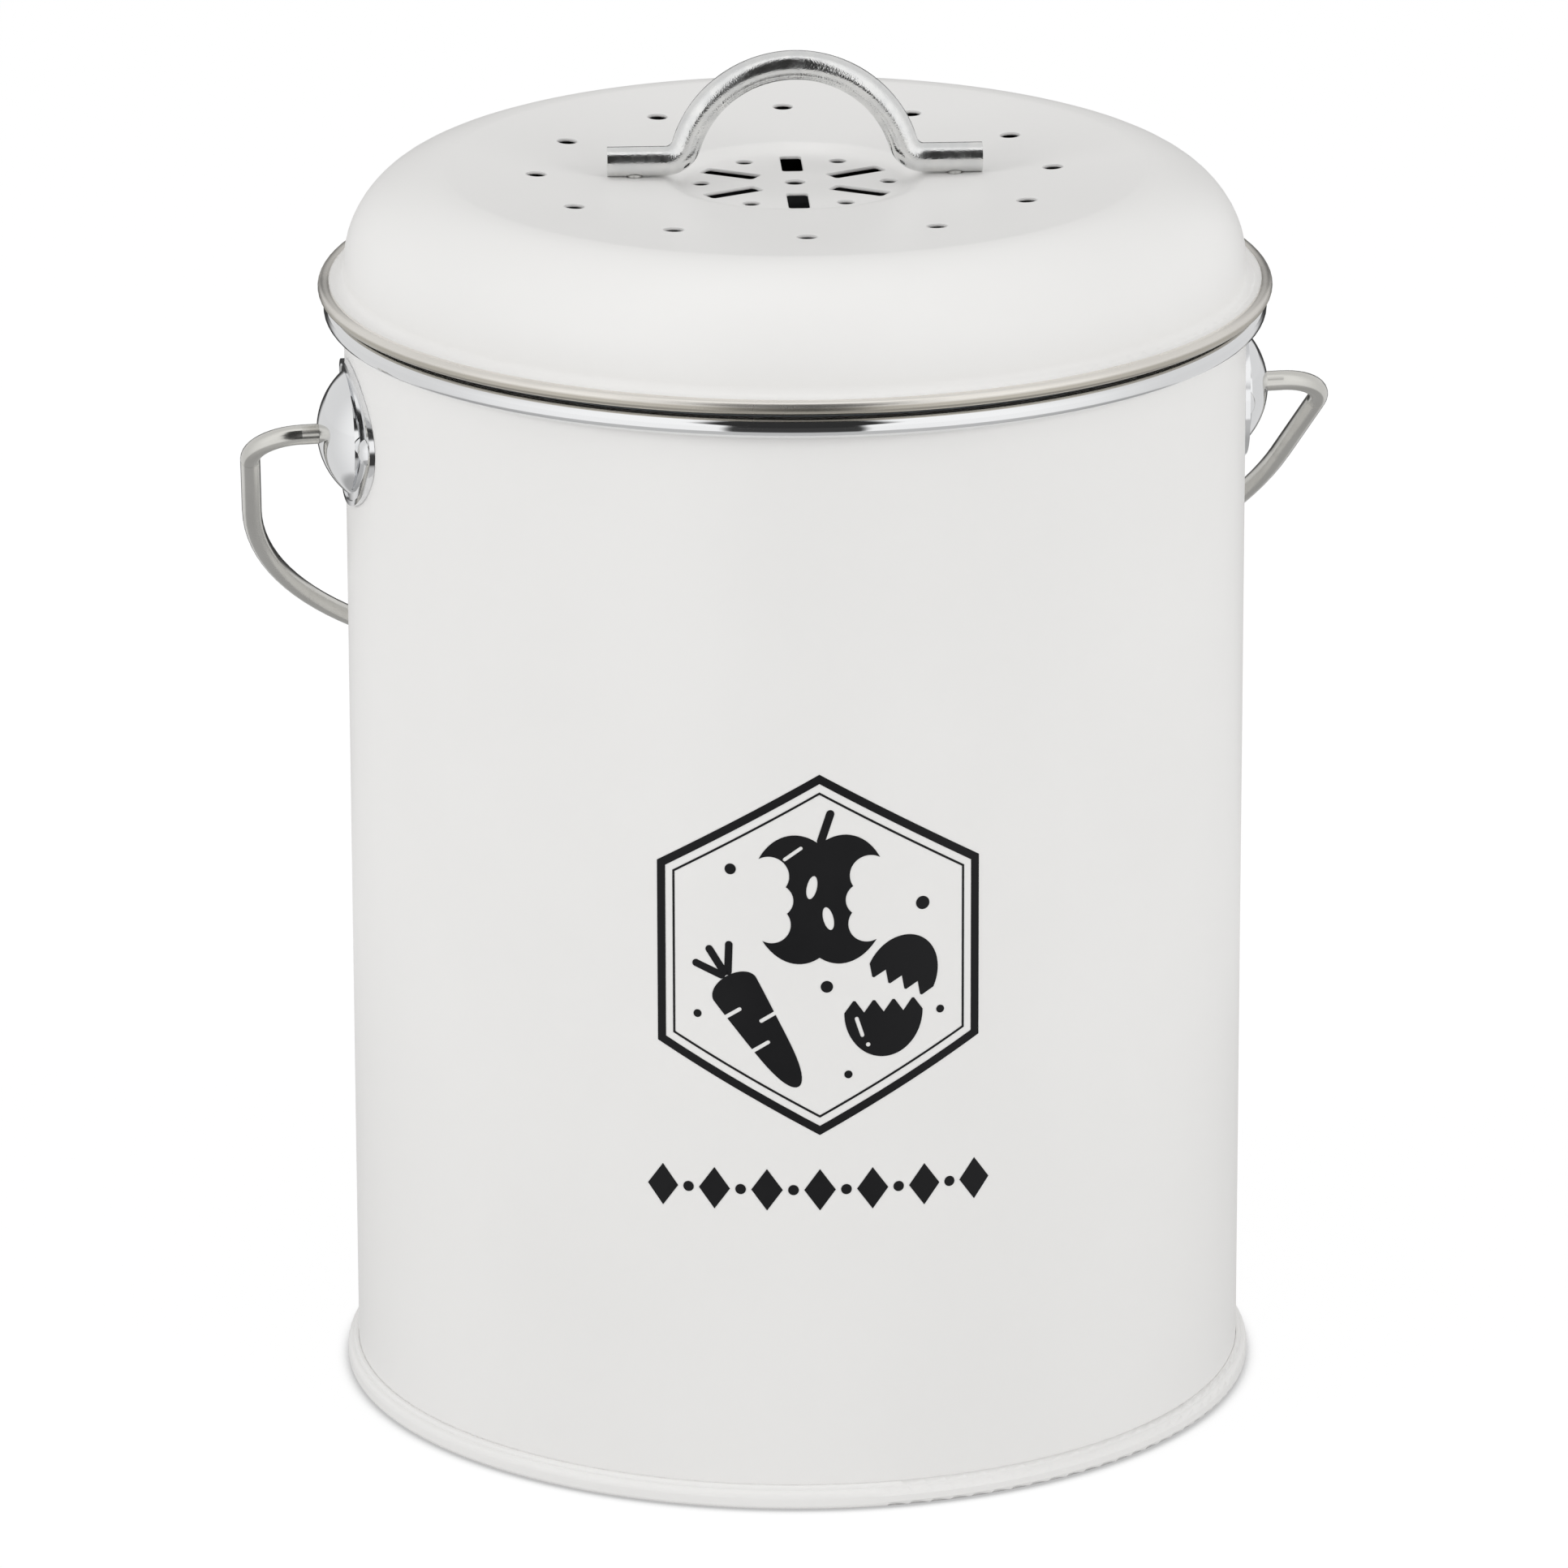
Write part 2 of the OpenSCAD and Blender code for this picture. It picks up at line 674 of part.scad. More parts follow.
// Rolled chrome edge clenched round the lid's flange
module lid_trim() {
    color(chrome_grey)
    on_lid() revolve() {
        difference() {
            dot(trim_x, trim_z, trim_roll_r);
            dot(trim_x, trim_z, trim_roll_r - trim_t);
            block(trim_x - trim_d, trim_x, flange_low_z - seat_gap, trim_z + trim_d);
        }
        intersection() {
            dot(trim_x, trim_z, trim_roll_r);
            block(trim_x - trim_lap, trim_x, flange_z + flat_gap, flange_z + trim_t);
        }
    }
}

// Half of the handle: foot, lower bend and arch
module handle_half() {
    turn = 90 - bend_angle;
    rod_straight(foot_start, foot_z, 0, foot_end - foot_start, rod_d / 2);
    rod_bend_lapped(foot_start, foot_z + bend_r, bend_r, rod_d / 2, 180 + turn, bend_angle);
    rod_bend(0, arch_z, arch_r, rod_d / 2, turn, bend_angle);
}

// Bright bent rod, tapped from below at both feet
module lid_handle() {
    color(rod_grey)
    on_lid() difference() {
        union() {
            handle_half();
            mirror([1, 0, 0]) handle_half();
        }
        for (side = [-1, 1]) translate([side * screw_x, 0, foot_z - rod_d / 2 - cut])
            cylinder(d = screw_d + fit_gap, h = screw_depth + cut + fit_gap, $fn = 32);
    }
}

// Pan-head screw from inside the lid into the handle's foot
module handle_screw(side) {
    top_z = foot_z - rod_d / 2 + screw_depth;
    head_z = washer_low_z - screw_head_h;
    edge = 0.3 * screw_head_h;
    cross_l = screw_head_d / 2;
    cross_w = cross_l / 4;
    color(steel_grey)
    on_lid() translate([side * screw_x, 0, 0]) difference() {
        rotate_extrude($fn = 48) {
            block(0, screw_d / 2, washer_low_z - screw_head_h / 2, top_z);
            block(0, screw_head_d / 2, head_z + edge, washer_low_z);
            intersection() {
                dot(0, head_z + screw_head_d, screw_head_d);
                block(0, screw_head_d / 2 - edge / 2, head_z, washer_low_z);
            }
        }
        for (turn = [0, 90]) rotate([0, 0, turn])
            translate([-cross_l / 2, -cross_w / 2, head_z - cut])
                cube([cross_l, cross_w, screw_head_h / 2 + cut]);
    }
}

module handle_screw_left() {
    handle_screw(-1);
}

module handle_screw_right() {
    handle_screw(1);
}

// Plain washer between a screw's head and the lid
module handle_washer(side) {
    color(steel_grey)
    on_lid() translate([side * screw_x, 0, washer_low_z])
        tube(washer_d / 2, screw_d / 2 + fit_gap, washer_t);
}

module handle_washer_left() {
    handle_washer(-1);
}

module handle_washer_right() {
    handle_washer(1);
}

// ---- Filter ----

// Moulded holder: a collar pressed into the lid, a spigot that centres the lid in the
// inner bucket, a cup for the pad and a grille of rings and spokes under it
module filter_holder() {
    step = (cup_in_r - hub_d / 2) / (ring_count + 1);
    collar_low_z = flange_low_z + fit_gap;
    bead_low_z = spigot_low_z + spigot_bead_h / 3;
    color(holder_black)
    on_lid() difference() {
        union() {
            revolve() {
                block(collar_r - holder_t, collar_r, collar_low_z, shoulder_z);
                block(spigot_r - holder_t, collar_r, collar_low_z, collar_low_z + web_t);
                block(cup_in_r, spigot_r, spigot_low_z, cup_top_z);
                block(spigot_r - holder_t / 2, spigot_r + spigot_bead,
                      bead_low_z, bead_low_z + spigot_bead_h);
                block(0, hub_d / 2, grille_z, pad_z);
                for (i = [1 : ring_count])
                    block(hub_d / 2 + i * step - rib_w / 2, hub_d / 2 + i * step + rib_w / 2,
                          grille_z, pad_z);
            }
            for (i = [0 : spoke_count - 1]) rotate([0, 0, i * 360 / spoke_count])
                translate([hub_d / 2 - cut, -rib_w / 2, grille_z])
                    cube([cup_in_r - hub_d / 2 + cut + holder_t / 2, rib_w, rib_h]);
        }
        for (i = [0 : notch_count - 1]) rotate([0, 0, (i + 0.5) * 360 / notch_count])
            translate([cup_in_r - 2 * cut, -notch_w / 2, cup_top_z - notch_h])
                cube([holder_t + 4 * cut, notch_w, notch_h + cut]);
    }
}

// Round pad of charcoal felt lying on the grille
module filter_pad() {
    color(charcoal)
    on_lid() translate([0, 0, pad_z + flat_gap]) cylinder(r = pad_r, h = pad_t - flat_gap);
}

// Soft ring between the lid's flange and the inner bucket's lip
module lid_gasket() {
    color(silicone_grey)
    on_lid() translate([0, 0, lip_top_z + flat_gap])
        tube(gasket_out_r, gasket_in_r, gasket_t - 2 * flat_gap);
}

// ---- Inner bucket ----

// Half outline of the tapered bucket, shrunk by inset
module liner_outline(inset) {
    low = liner_lift + inset;
    edge = liner_edge_r - inset;
    top_r = mouth_r + liner_t - inset;
    low_r = bottom_r - inset;
    slope = (top_r - low_r) / (body_h - liner_lift);
    edge_z = liner_lift + liner_edge_r;
    edge_x = low_r + slope * liner_edge_r - edge;
    hull_r = edge_x + edge * cos(atan(slope));
    hull_z = edge_z - edge * sin(atan(slope));
    dot(edge_x, edge_z, edge);
    polygon([[0, low], [edge_x, low], [edge_x, edge_z], [hull_r, hull_z],
             [top_r, body_h + liner_lip_t], [0, body_h + liner_lip_t]]);
}

// Tapered plastic bucket that hangs by its lip on the rim, with two finger holes
module inner_bucket() {
    foot_r = bottom_r - liner_edge_r - 3 * liner_foot_h;
    color(plastic_grey)
    difference() {
        revolve() {
            difference() {
                union() {
                    liner_outline(0);
                    block(mouth_r, lip_r, body_h, lip_top_z);
                }
                liner_outline(liner_t);
                block(0, mouth_r - liner_t, lip_top_z - cut, lip_top_z + cut);
            }
            // Foot ring under the bottom
            block(foot_r, foot_r + 1.5 * liner_foot_h, liner_lift - liner_foot_h,
                  liner_lift + liner_t / 2);
        }
        for (side = [0, 180]) rotate([0, 0, 90 + side])
            translate([mouth_r - grip_h, 0, body_h - grip_drop - grip_h / 2]) rotate([90, 0, 90])
                linear_extrude(height = 2 * grip_h) {
                    for (end = [-1, 1]) translate([end * (grip_w - grip_h) / 2, 0])
                        circle(d = grip_h, $fn = 48);
                    square([grip_w - grip_h, grip_h], center = true);
                }
    }
}

body_shell();
base_panel();
rim_band();
ear_left();
ear_right();
rivet_left_front();
rivet_left_back();
rivet_right_front();
rivet_right_back();
bail();
inner_bucket();
lid_shell();
lid_trim();
lid_handle();
handle_screw_left();
handle_screw_right();
handle_washer_left();
handle_washer_right();
filter_holder();
filter_pad();
lid_gasket();
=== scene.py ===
"""Round compost caddy in a pale studio: finishes, charcoal pad, printed motif, light and camera.

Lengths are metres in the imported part's own frame: +Z is up, the table is z = 0 and the
bail's pins lie along X.
"""

from __future__ import annotations

import logging
import math
from collections.abc import Iterable
from dataclasses import dataclass, field, replace
from enum import Enum

import bpy
from mathutils import Matrix, Vector

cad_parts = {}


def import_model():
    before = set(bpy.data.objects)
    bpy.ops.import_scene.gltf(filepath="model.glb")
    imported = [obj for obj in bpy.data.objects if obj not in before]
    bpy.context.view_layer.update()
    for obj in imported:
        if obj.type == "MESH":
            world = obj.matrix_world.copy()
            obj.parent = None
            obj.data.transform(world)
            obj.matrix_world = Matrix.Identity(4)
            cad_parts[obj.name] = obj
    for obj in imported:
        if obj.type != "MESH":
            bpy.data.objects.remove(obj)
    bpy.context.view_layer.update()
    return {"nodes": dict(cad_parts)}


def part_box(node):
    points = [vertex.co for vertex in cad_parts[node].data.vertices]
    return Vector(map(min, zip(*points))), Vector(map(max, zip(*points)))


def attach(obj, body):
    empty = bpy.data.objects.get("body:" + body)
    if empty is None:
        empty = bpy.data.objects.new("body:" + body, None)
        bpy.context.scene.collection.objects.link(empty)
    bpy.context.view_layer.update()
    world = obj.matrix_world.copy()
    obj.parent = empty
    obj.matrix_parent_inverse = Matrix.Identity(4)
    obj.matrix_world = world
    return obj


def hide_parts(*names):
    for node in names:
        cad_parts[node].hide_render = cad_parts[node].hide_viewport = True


LOG = logging.getLogger("compost_caddy")
MM = 0.001
Piece = bpy.types.Object
Socket = bpy.types.NodeSocket
Colour = tuple[float, float, float]
Place = tuple[float, float, float]
Pair = tuple[float, float]
WHITE: Colour = (1.0, 1.0, 1.0)


# ---------------- small modelling helpers


def deselect() -> None:
    """Leaves object mode clean, with nothing selected."""
    if bpy.context.mode != "OBJECT":
        bpy.ops.object.mode_set(mode="OBJECT")
    bpy.ops.object.select_all(action="DESELECT")


def pick(piece: Piece) -> None:
    """Selects one piece alone and makes it the active one.

    Args:
        piece: The piece.
    """
    deselect()
    piece.select_set(True)
    bpy.context.view_layer.objects.active = piece


def take(name: str) -> Piece:
    """Names the object that an operator has just made.

    Args:
        name: The piece's name.

    Returns:
        The active object under its new name.
    """
    piece = bpy.context.active_object
    piece.name = name
    piece.data.name = name
    return piece


def settle(piece: Piece) -> None:
    """Puts a piece's place, turn and scale into its mesh.

    Args:
        piece: The piece.
    """
    pick(piece)
    bpy.ops.object.transform_apply(location=True, rotation=True, scale=True)
    piece.select_set(False)


def apply_modifier(piece: Piece, kind: str, **settings: object) -> None:
    """Adds one modifier, sets it and applies it.

    Args:
        piece: The mesh object to change.
        kind: Blender's name of the modifier type.
        **settings: Properties of the modifier.
    """
    pick(piece)
    modifier = piece.modifiers.new(kind.title(), kind)
    for name, value in settings.items():
        setattr(modifier, name, value)
    bpy.ops.object.modifier_apply(modifier=modifier.name)
    piece.select_set(False)


def join(pieces: Iterable[Piece], name: str) -> Piece:
    """Joins mesh objects into one.

    Args:
        pieces: The objects, of which the first stays.
        name: The name of the joined object.

    Returns:
        The joined object.
    """
    deselect()
    listed = list(pieces)
    for piece in listed:
        piece.select_set(True)
    bpy.context.view_layer.objects.active = listed[0]
    bpy.ops.object.join()
    joined = take(name)
    joined.select_set(False)
    return joined


def edit_all(piece: Piece) -> None:
    """Opens a piece in edit mode with its whole mesh selected.

    Args:
        piece: The piece.
    """
    pick(piece)
    bpy.ops.object.mode_set(mode="EDIT")
    bpy.ops.mesh.select_all(action="SELECT")


# ---------------- shader graphs


class MixOf(Enum):
    """What a Mix node mixes, with the numbers of its two inputs and its output."""

    FLOAT = (2, 3, 0)
    VECTOR = (4, 5, 1)
    RGBA = (6, 7, 2)


class Graph:
    """Adds nodes to a tree and links them, so that a finish reads as a list of steps."""

    def __init__(self, tree: bpy.types.NodeTree) -> None:
        """Empties the node tree that the nodes go into."""
        self.tree = tree
        tree.nodes.clear()

    def feed(self, socket: Socket, value: object) -> None:
        """Links a socket to another node's output, or sets its own value.

        Args:
            socket: The input to fill.
            value: An output socket, a number, a vector or a colour.
        """
        if isinstance(value, Socket):
            self.tree.links.new(value, socket)
        elif isinstance(value, tuple) and len(value) == 3 and socket.type == "RGBA":
            socket.default_value = (*value, 1.0)
        else:
            socket.default_value = value

    def add(self, kind: str, settings: dict[str, object] | None = None,
            inputs: dict[str | int, object] | None = None) -> bpy.types.Node:
        """Adds a node.

        Args:
            kind: Blender's name of the node type.
            settings: Properties of the node.
            inputs: What each input, by name or number, is fed with.

        Returns:
            The new node.
        """
        node = self.tree.nodes.new(kind)
        for name, value in (settings or {}).items():
            setattr(node, name, value)
        for key, value in (inputs or {}).items():
            self.feed(node.inputs[key], value)
        return node

    def math(self, operation: str, *values: object, clamp: bool = False) -> Socket:
        """Adds a Math node and returns its output.

        Args:
            operation: Blender's name of the operation.
            *values: Sockets or numbers for its inputs.
            clamp: Whether the result stays between 0 and 1.

        Returns:
            The node's output socket.
        """
        node = self.add("ShaderNodeMath", {"operation": operation, "use_clamp": clamp},
                        dict(enumerate(values)))
        return node.outputs[0]

    def ramp(self, value: object, low: object, high: object, start: object = 0.0,
             end: object = 1.0) -> Socket:
        """Adds a smooth Map Range node.

        Args:
            value: The number or socket to map.
            low: Where the ramp starts.
            high: Where the ramp ends.
            start: The result at and before the start.
            end: The result at and after the end.

        Returns:
            The node's output socket.
        """
        node = self.add("ShaderNodeMapRange", {"interpolation_type": "SMOOTHSTEP"}, {
            "Value": value, "From Min": low, "From Max": high, "To Min": start, "To Max": end})
        return node.outputs["Result"]

    def mix(self, kind: MixOf, share: object, first: object, second: object) -> Socket:
        """Mixes two numbers, vectors or colours.

        Args:
            kind: What is mixed.
            share: How much of the second value is used.
            first: The first value.
            second: The second value.

        Returns:
            The mixed value's socket.
        """
        one, other, result = kind.value
        node = self.add("ShaderNodeMix", {"data_type": kind.name},
                        {0: share, one: first, other: second})
        return node.outputs[result]

    def blend(self, share: object, first: bpy.types.Node,
              second: bpy.types.Node) -> bpy.types.Node:
        """Adds a Mix Shader node, fed with how much of the second shader it uses."""
        return self.add("ShaderNodeMixShader", None, {
            0: share, 1: first.outputs[0], 2: second.outputs[0]})

    def noise(self, place: object, cells: object, **inputs: object) -> Socket:
        """Adds a Noise texture at a place, with its cells per metre, and returns its factor."""
        inputs |= {"Vector": place, "Scale": cells}
        return self.add("ShaderNodeTexNoise", None, inputs).outputs["Fac"]


class Relief(Enum):
    """The small relief that a finish carries."""

    PEEL = "powder coat relief"
    STREAKS = "drawn wire streaks"
    SPANGLE = "plated rod spangle"
    GRAIN = "moulded grain"
    FELT = "needled felt"


class EffectGroups:
    """Shader node groups that the finishes share, each built when it is first asked for."""

    def __init__(self) -> None:
        """Starts with no group built."""
        self.built: dict[str, bpy.types.NodeTree] = {}

    def shell(self, name: str) -> tuple[Graph, bpy.types.Node, bpy.types.Node]:
        """Makes an empty group that takes a place and a size and gives one value.

        Args:
            name: The group's name.

        Returns:
            The group's graph, its input node and its output node.
        """
        tree = bpy.data.node_groups.new(name, "ShaderNodeTree")
        tree.interface.new_socket("Place", in_out="INPUT", socket_type="NodeSocketVector")
        tree.interface.new_socket("Cells per metre", in_out="INPUT",
                                  socket_type="NodeSocketFloat")
        tree.interface.new_socket("Value", in_out="OUTPUT", socket_type="NodeSocketFloat")
        graph = Graph(tree)
        self.built[name] = tree
        return graph, graph.add("NodeGroupInput"), graph.add("NodeGroupOutput")

    def cloud(self) -> bpy.types.NodeTree:
        """Gives the group of soft, slow patches.

        Returns:
            The group's node tree.
        """
        name = "soft patches"
        if name not in self.built:
            graph, source, sink = self.shell(name)
            noise = graph.noise(source.outputs["Place"], source.outputs["Cells per metre"],
                                Detail=3.0, Roughness=0.55)
            faintest, fullest = 0.3, 0.7
            graph.feed(sink.inputs["Value"], graph.ramp(noise, faintest, fullest))
        return self.built[name]

    def relief(self, kind: Relief) -> bpy.types.NodeTree:
        """Gives the group that makes one kind of relief.

        Args:
            kind: The relief.

        Returns:
            The group's node tree.
        """
        if kind.value in self.built:
            return self.built[kind.value]
        graph, source, sink = self.shell(kind.value)
        place, cells = source.outputs["Place"], source.outputs["Cells per metre"]
        if kind is Relief.STREAKS:
            squeeze = (0.02, 1.0, 0.02)
            stretched = graph.add("ShaderNodeVectorMath", {"operation": "MULTIPLY"},
                                  {0: place, 1: squeeze})
            value = graph.noise(stretched.outputs[0], cells, Detail=4.0)
        elif kind is Relief.SPANGLE:
            coarser = 0.45
            flake = graph.add("ShaderNodeTexVoronoi", {"feature": "SMOOTH_F1"}, {
                "Vector": place, "Scale": cells, "Smoothness": 0.6, "Randomness": 1.0})
            waves = graph.noise(place, graph.math("MULTIPLY", cells, coarser), Detail=2.0)
            value = graph.math("ADD", flake.outputs["Distance"], waves)
        elif kind is Relief.FELT:
            value = graph.noise(place, cells, Detail=6.0, Roughness=0.7, Distortion=1.5)
        else:
            rough = 0.35 if kind is Relief.PEEL else 0.7
            value = graph.noise(place, cells, Detail=2.0, Roughness=rough)
        graph.feed(sink.inputs["Value"], value)
        return self.built[kind.value]


@dataclass(frozen=True)
class Finish:
    """One procedural finish: two close colours, a roughness range and a fine relief.

    Attributes:
        name: Name of the material.
        colour: Main colour.
        patch_colour: Colour of the soft patches.
        roughness: Roughness between and in the patches.
        relief: Kind of relief.
        relief_size: Size of the relief's cells.
        relief_depth: Depth of the relief.
        metallic: How metallic it is.
        patch_size: Size of the soft patches.
        tilt: Turn of the relief about X.
        specular: Strength of the plain reflection.
        brushing: How strongly it is brushed round about Z.
        painted_reflection_colour: Colour of the piece's lower part, painted darker as a painted
            reflection, if that differs.
        painted_reflection_share: Share of the piece's height at which that painted reflection
            ends.
        painted_reflection_blend: Share of the height over which it blends, each way.
        soft_edge: Radius of edges that the paint softens.
        soft_reach: Distance from the axis within which it softens them.
        soft_fade: How far inside that distance it does so fully.
        soft_samples: Samples of the softened edges.
    """

    name: str
    colour: Colour
    patch_colour: Colour
    roughness: Pair
    relief: Relief
    relief_size: float
    relief_depth: float
    metallic: float = 0.0
    patch_size: float = 0.03
    tilt: float = 0.0
    specular: float = 0.5
    brushing: float = 0.0
    painted_reflection_colour: Colour | None = None
    painted_reflection_share: float = 0.6
    painted_reflection_blend: float = 0.1
    soft_edge: float = 0.0
    soft_reach: float = 58.0 * MM
    soft_fade: float = 2.0 * MM
    soft_samples: int = 6

    def softened(self, graph: Graph, place: Socket) -> Socket:
        """Gives a normal that rounds edges near the axis and is the plain one elsewhere.

        Args:
            graph: The material's graph.
            place: The place on the piece.

        Returns:
            The normal's socket.
        """
        rounded = graph.add("ShaderNodeBevel", {"samples": self.soft_samples},
                            {"Radius": self.soft_edge})
        flat = graph.add("ShaderNodeVectorMath", {"operation": "MULTIPLY"},
                         {0: place, 1: (1.0, 1.0, 0.0)})
        reach = graph.add("ShaderNodeVectorMath", {"operation": "LENGTH"},
                          {0: flat.outputs["Vector"]}).outputs["Value"]
        share = graph.ramp(reach, self.soft_reach, self.soft_reach - self.soft_fade)
        sharp = graph.add("ShaderNodeNewGeometry").outputs["Normal"]
        return graph.mix(MixOf.VECTOR, share, sharp, rounded.outputs["Normal"])

    def paint_dark_reflection(self, graph: Graph, place: Socket, colour: Socket, piece: Piece) -> Socket:
        """Gives the piece's lower part a darker colour: a painted reflection of the dark floor and
        horizon.

        Args:
            graph: The material's graph.
            place: The place on the piece.
            colour: The colour of the upper part.
            piece: The piece, whose height places the painted reflection.

        Returns:
            The colour's socket.
        """
        heights = [corner[2] for corner in piece.bound_box]
        low, tall = min(heights), max(heights) - min(heights)
        up = graph.add("ShaderNodeSeparateXYZ", None, {0: place}).outputs["Z"]
        painted_dark = graph.ramp(up, low + (self.painted_reflection_share - self.painted_reflection_blend) * tall,
                          low + (self.painted_reflection_share + self.painted_reflection_blend) * tall, 1.0, 0.0)
        return graph.mix(MixOf.RGBA, painted_dark, colour, self.painted_reflection_colour)

    def material(self, groups: EffectGroups, piece: Piece) -> bpy.types.Material:
        """Builds the finish as a node material.

        Args:
            groups: The shared shader groups.
            piece: The first piece that gets it, whose height places the painted reflection's
                colour.

        Returns:
            The material.
        """
        made = bpy.data.materials.new(self.name)
        made.use_nodes = True
        graph = Graph(made.node_tree)
        place = graph.add("ShaderNodeTexCoord").outputs["Object"]
        if self.tilt:
            place = graph.add("ShaderNodeMapping", None, {
                "Vector": place, "Rotation": (self.tilt, 0.0, 0.0)}).outputs["Vector"]
        patches = graph.add("ShaderNodeGroup", {"node_tree": groups.cloud()}, {
            "Place": place, "Cells per metre": 1.0 / self.patch_size}).outputs["Value"]
        relief = graph.add("ShaderNodeGroup", {"node_tree": groups.relief(self.relief)}, {
            "Place": place, "Cells per metre": 1.0 / self.relief_size}).outputs["Value"]
        bump = graph.add("ShaderNodeBump", None, {
            "Height": relief, "Distance": self.relief_depth, "Strength": 1.0})
        if self.soft_edge:
            graph.feed(bump.inputs["Normal"], self.softened(graph, place))
        colour = graph.mix(MixOf.RGBA, patches, self.colour, self.patch_colour)
        # Painted reflection: the lower part gets a darker colour for the dark floor and horizon it
        # reflects.
        if self.painted_reflection_colour:
            colour = self.paint_dark_reflection(graph, place, colour, piece)
        shader = graph.add("ShaderNodeBsdfPrincipled", None, {
            "Base Color": colour,
            "Roughness": graph.ramp(patches, 0.0, 1.0, *self.roughness),
            "Metallic": self.metallic,
            "Specular IOR Level": self.specular,
            "Anisotropic": self.brushing,
            "Normal": bump.outputs["Normal"]})
        if self.brushing:
            round_about = graph.add("ShaderNodeTangent", {"direction_type": "RADIAL", "axis": "Z"})
            graph.feed(shader.inputs["Tangent"], round_about.outputs["Tangent"])
        output = graph.add("ShaderNodeOutputMaterial")
        graph.feed(output.inputs["Surface"], shader.outputs["BSDF"])
        return made


class Look(Enum):
    """Every finish on the caddy."""

    PAINT = Finish("satin_white_paint", (0.850, 0.843, 0.830), (0.836, 0.829, 0.816),
                   (0.40, 0.46), Relief.PEEL, 0.0011, 0.000008, patch_size=0.06)
    LID_PAINT = replace(PAINT, name="satin_white_lid_paint", soft_edge=0.55 * MM)
    CHROME = Finish("bright_chrome", (0.86, 0.865, 0.87), (0.84, 0.845, 0.855),
                    (0.05, 0.08), Relief.PEEL, 0.0020, 0.000002, metallic=1.0)
    # The bright edge's lower part is painted darker: a painted reflection of the dark floor and
    # horizon.
    EDGE = Finish("brushed_steel_edge", (0.86, 0.83, 0.78), (0.82, 0.79, 0.74),
                  (0.22, 0.28), Relief.PEEL, 0.0012, 0.000003, metallic=1.0,
                  brushing=0.7, painted_reflection_colour=(0.52, 0.49, 0.43))
    WIRE = Finish("drawn_steel_wire", (0.74, 0.73, 0.695), (0.68, 0.67, 0.635),
                  (0.14, 0.22), Relief.STREAKS, 0.00035, 0.000010, metallic=1.0,
                  patch_size=0.02, tilt=math.radians(-49.435))
    ROD = Finish("bright_zinc_rod", (0.83, 0.83, 0.82), (0.76, 0.765, 0.765),
                 (0.12, 0.24), Relief.SPANGLE, 0.00028, 0.000022, metallic=1.0,
                 patch_size=0.004)
    FASTENER = Finish("zinc_fastener", (0.70, 0.70, 0.68), (0.63, 0.63, 0.61),
                      (0.28, 0.38), Relief.GRAIN, 0.0006, 0.000006, metallic=1.0,
                      patch_size=0.004)
    LINER = Finish("grey_moulded_liner", (0.19, 0.205, 0.215), (0.17, 0.185, 0.195),
                   (0.42, 0.52), Relief.GRAIN, 0.0007, 0.000020, patch_size=0.05)
    HOLDER = Finish("black_moulded_holder", (0.018, 0.018, 0.020), (0.024, 0.024, 0.026),
                    (0.45, 0.55), Relief.GRAIN, 0.0006, 0.000018, patch_size=0.03)
    FELT = Finish("charcoal_felt", (0.010, 0.010, 0.011), (0.022, 0.022, 0.024),
                  (0.90, 0.98), Relief.FELT, 0.0012, 0.00030, patch_size=0.004)
    GASKET = Finish("soft_gasket", (0.062, 0.040, 0.024), (0.050, 0.032, 0.019),
                    (0.55, 0.65), Relief.GRAIN, 0.0008, 0.000010, patch_size=0.02)
    INK = Finish("black_print", (0.0075, 0.0075, 0.0085), (0.0095, 0.0095, 0.0105),
                 (0.50, 0.58), Relief.PEEL, 0.0009, 0.000004, patch_size=0.02, specular=0.2)


class Paintshop:
    """Builds each material once and puts it on pieces."""

    def __init__(self) -> None:
        """Starts with no material made."""
        self.groups = EffectGroups()
        self.made: dict[Look, bpy.types.Material] = {}

    def coat(self, piece: Piece, look: Look) -> None:
        """Gives a piece one finish all over.

        Args:
            piece: The object.
            look: The finish.
        """
        if look not in self.made:
            self.made[look] = look.value.material(self.groups, piece)
        if not piece.material_slots:
            piece.data.materials.append(self.made[look])
        for slot in piece.material_slots:
            slot.material = self.made[look]


class SubAssembly:
    """Pieces that are dressed together. Subclasses say which and how."""

    looks: dict[str, Look] = {}

    def dress(self, nodes: dict[str, Piece], shop: Paintshop) -> None:
        """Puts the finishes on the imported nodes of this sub-assembly.

        Args:
            nodes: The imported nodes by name.
            shop: Where the materials come from.
        """
        for name, look in self.looks.items():
            shop.coat(nodes[name], look)
            LOG.info("%s: %s", name, look.value.name)

    def build(self, shop: Paintshop) -> list[Piece]:
        """Builds the pieces that this sub-assembly adds, none unless a subclass does."""
        return []


# ---------------- printed motif


class Joining(Enum):
    """What a shape does to another one."""

    ADD = "UNION"
    CUT = "DIFFERENCE"


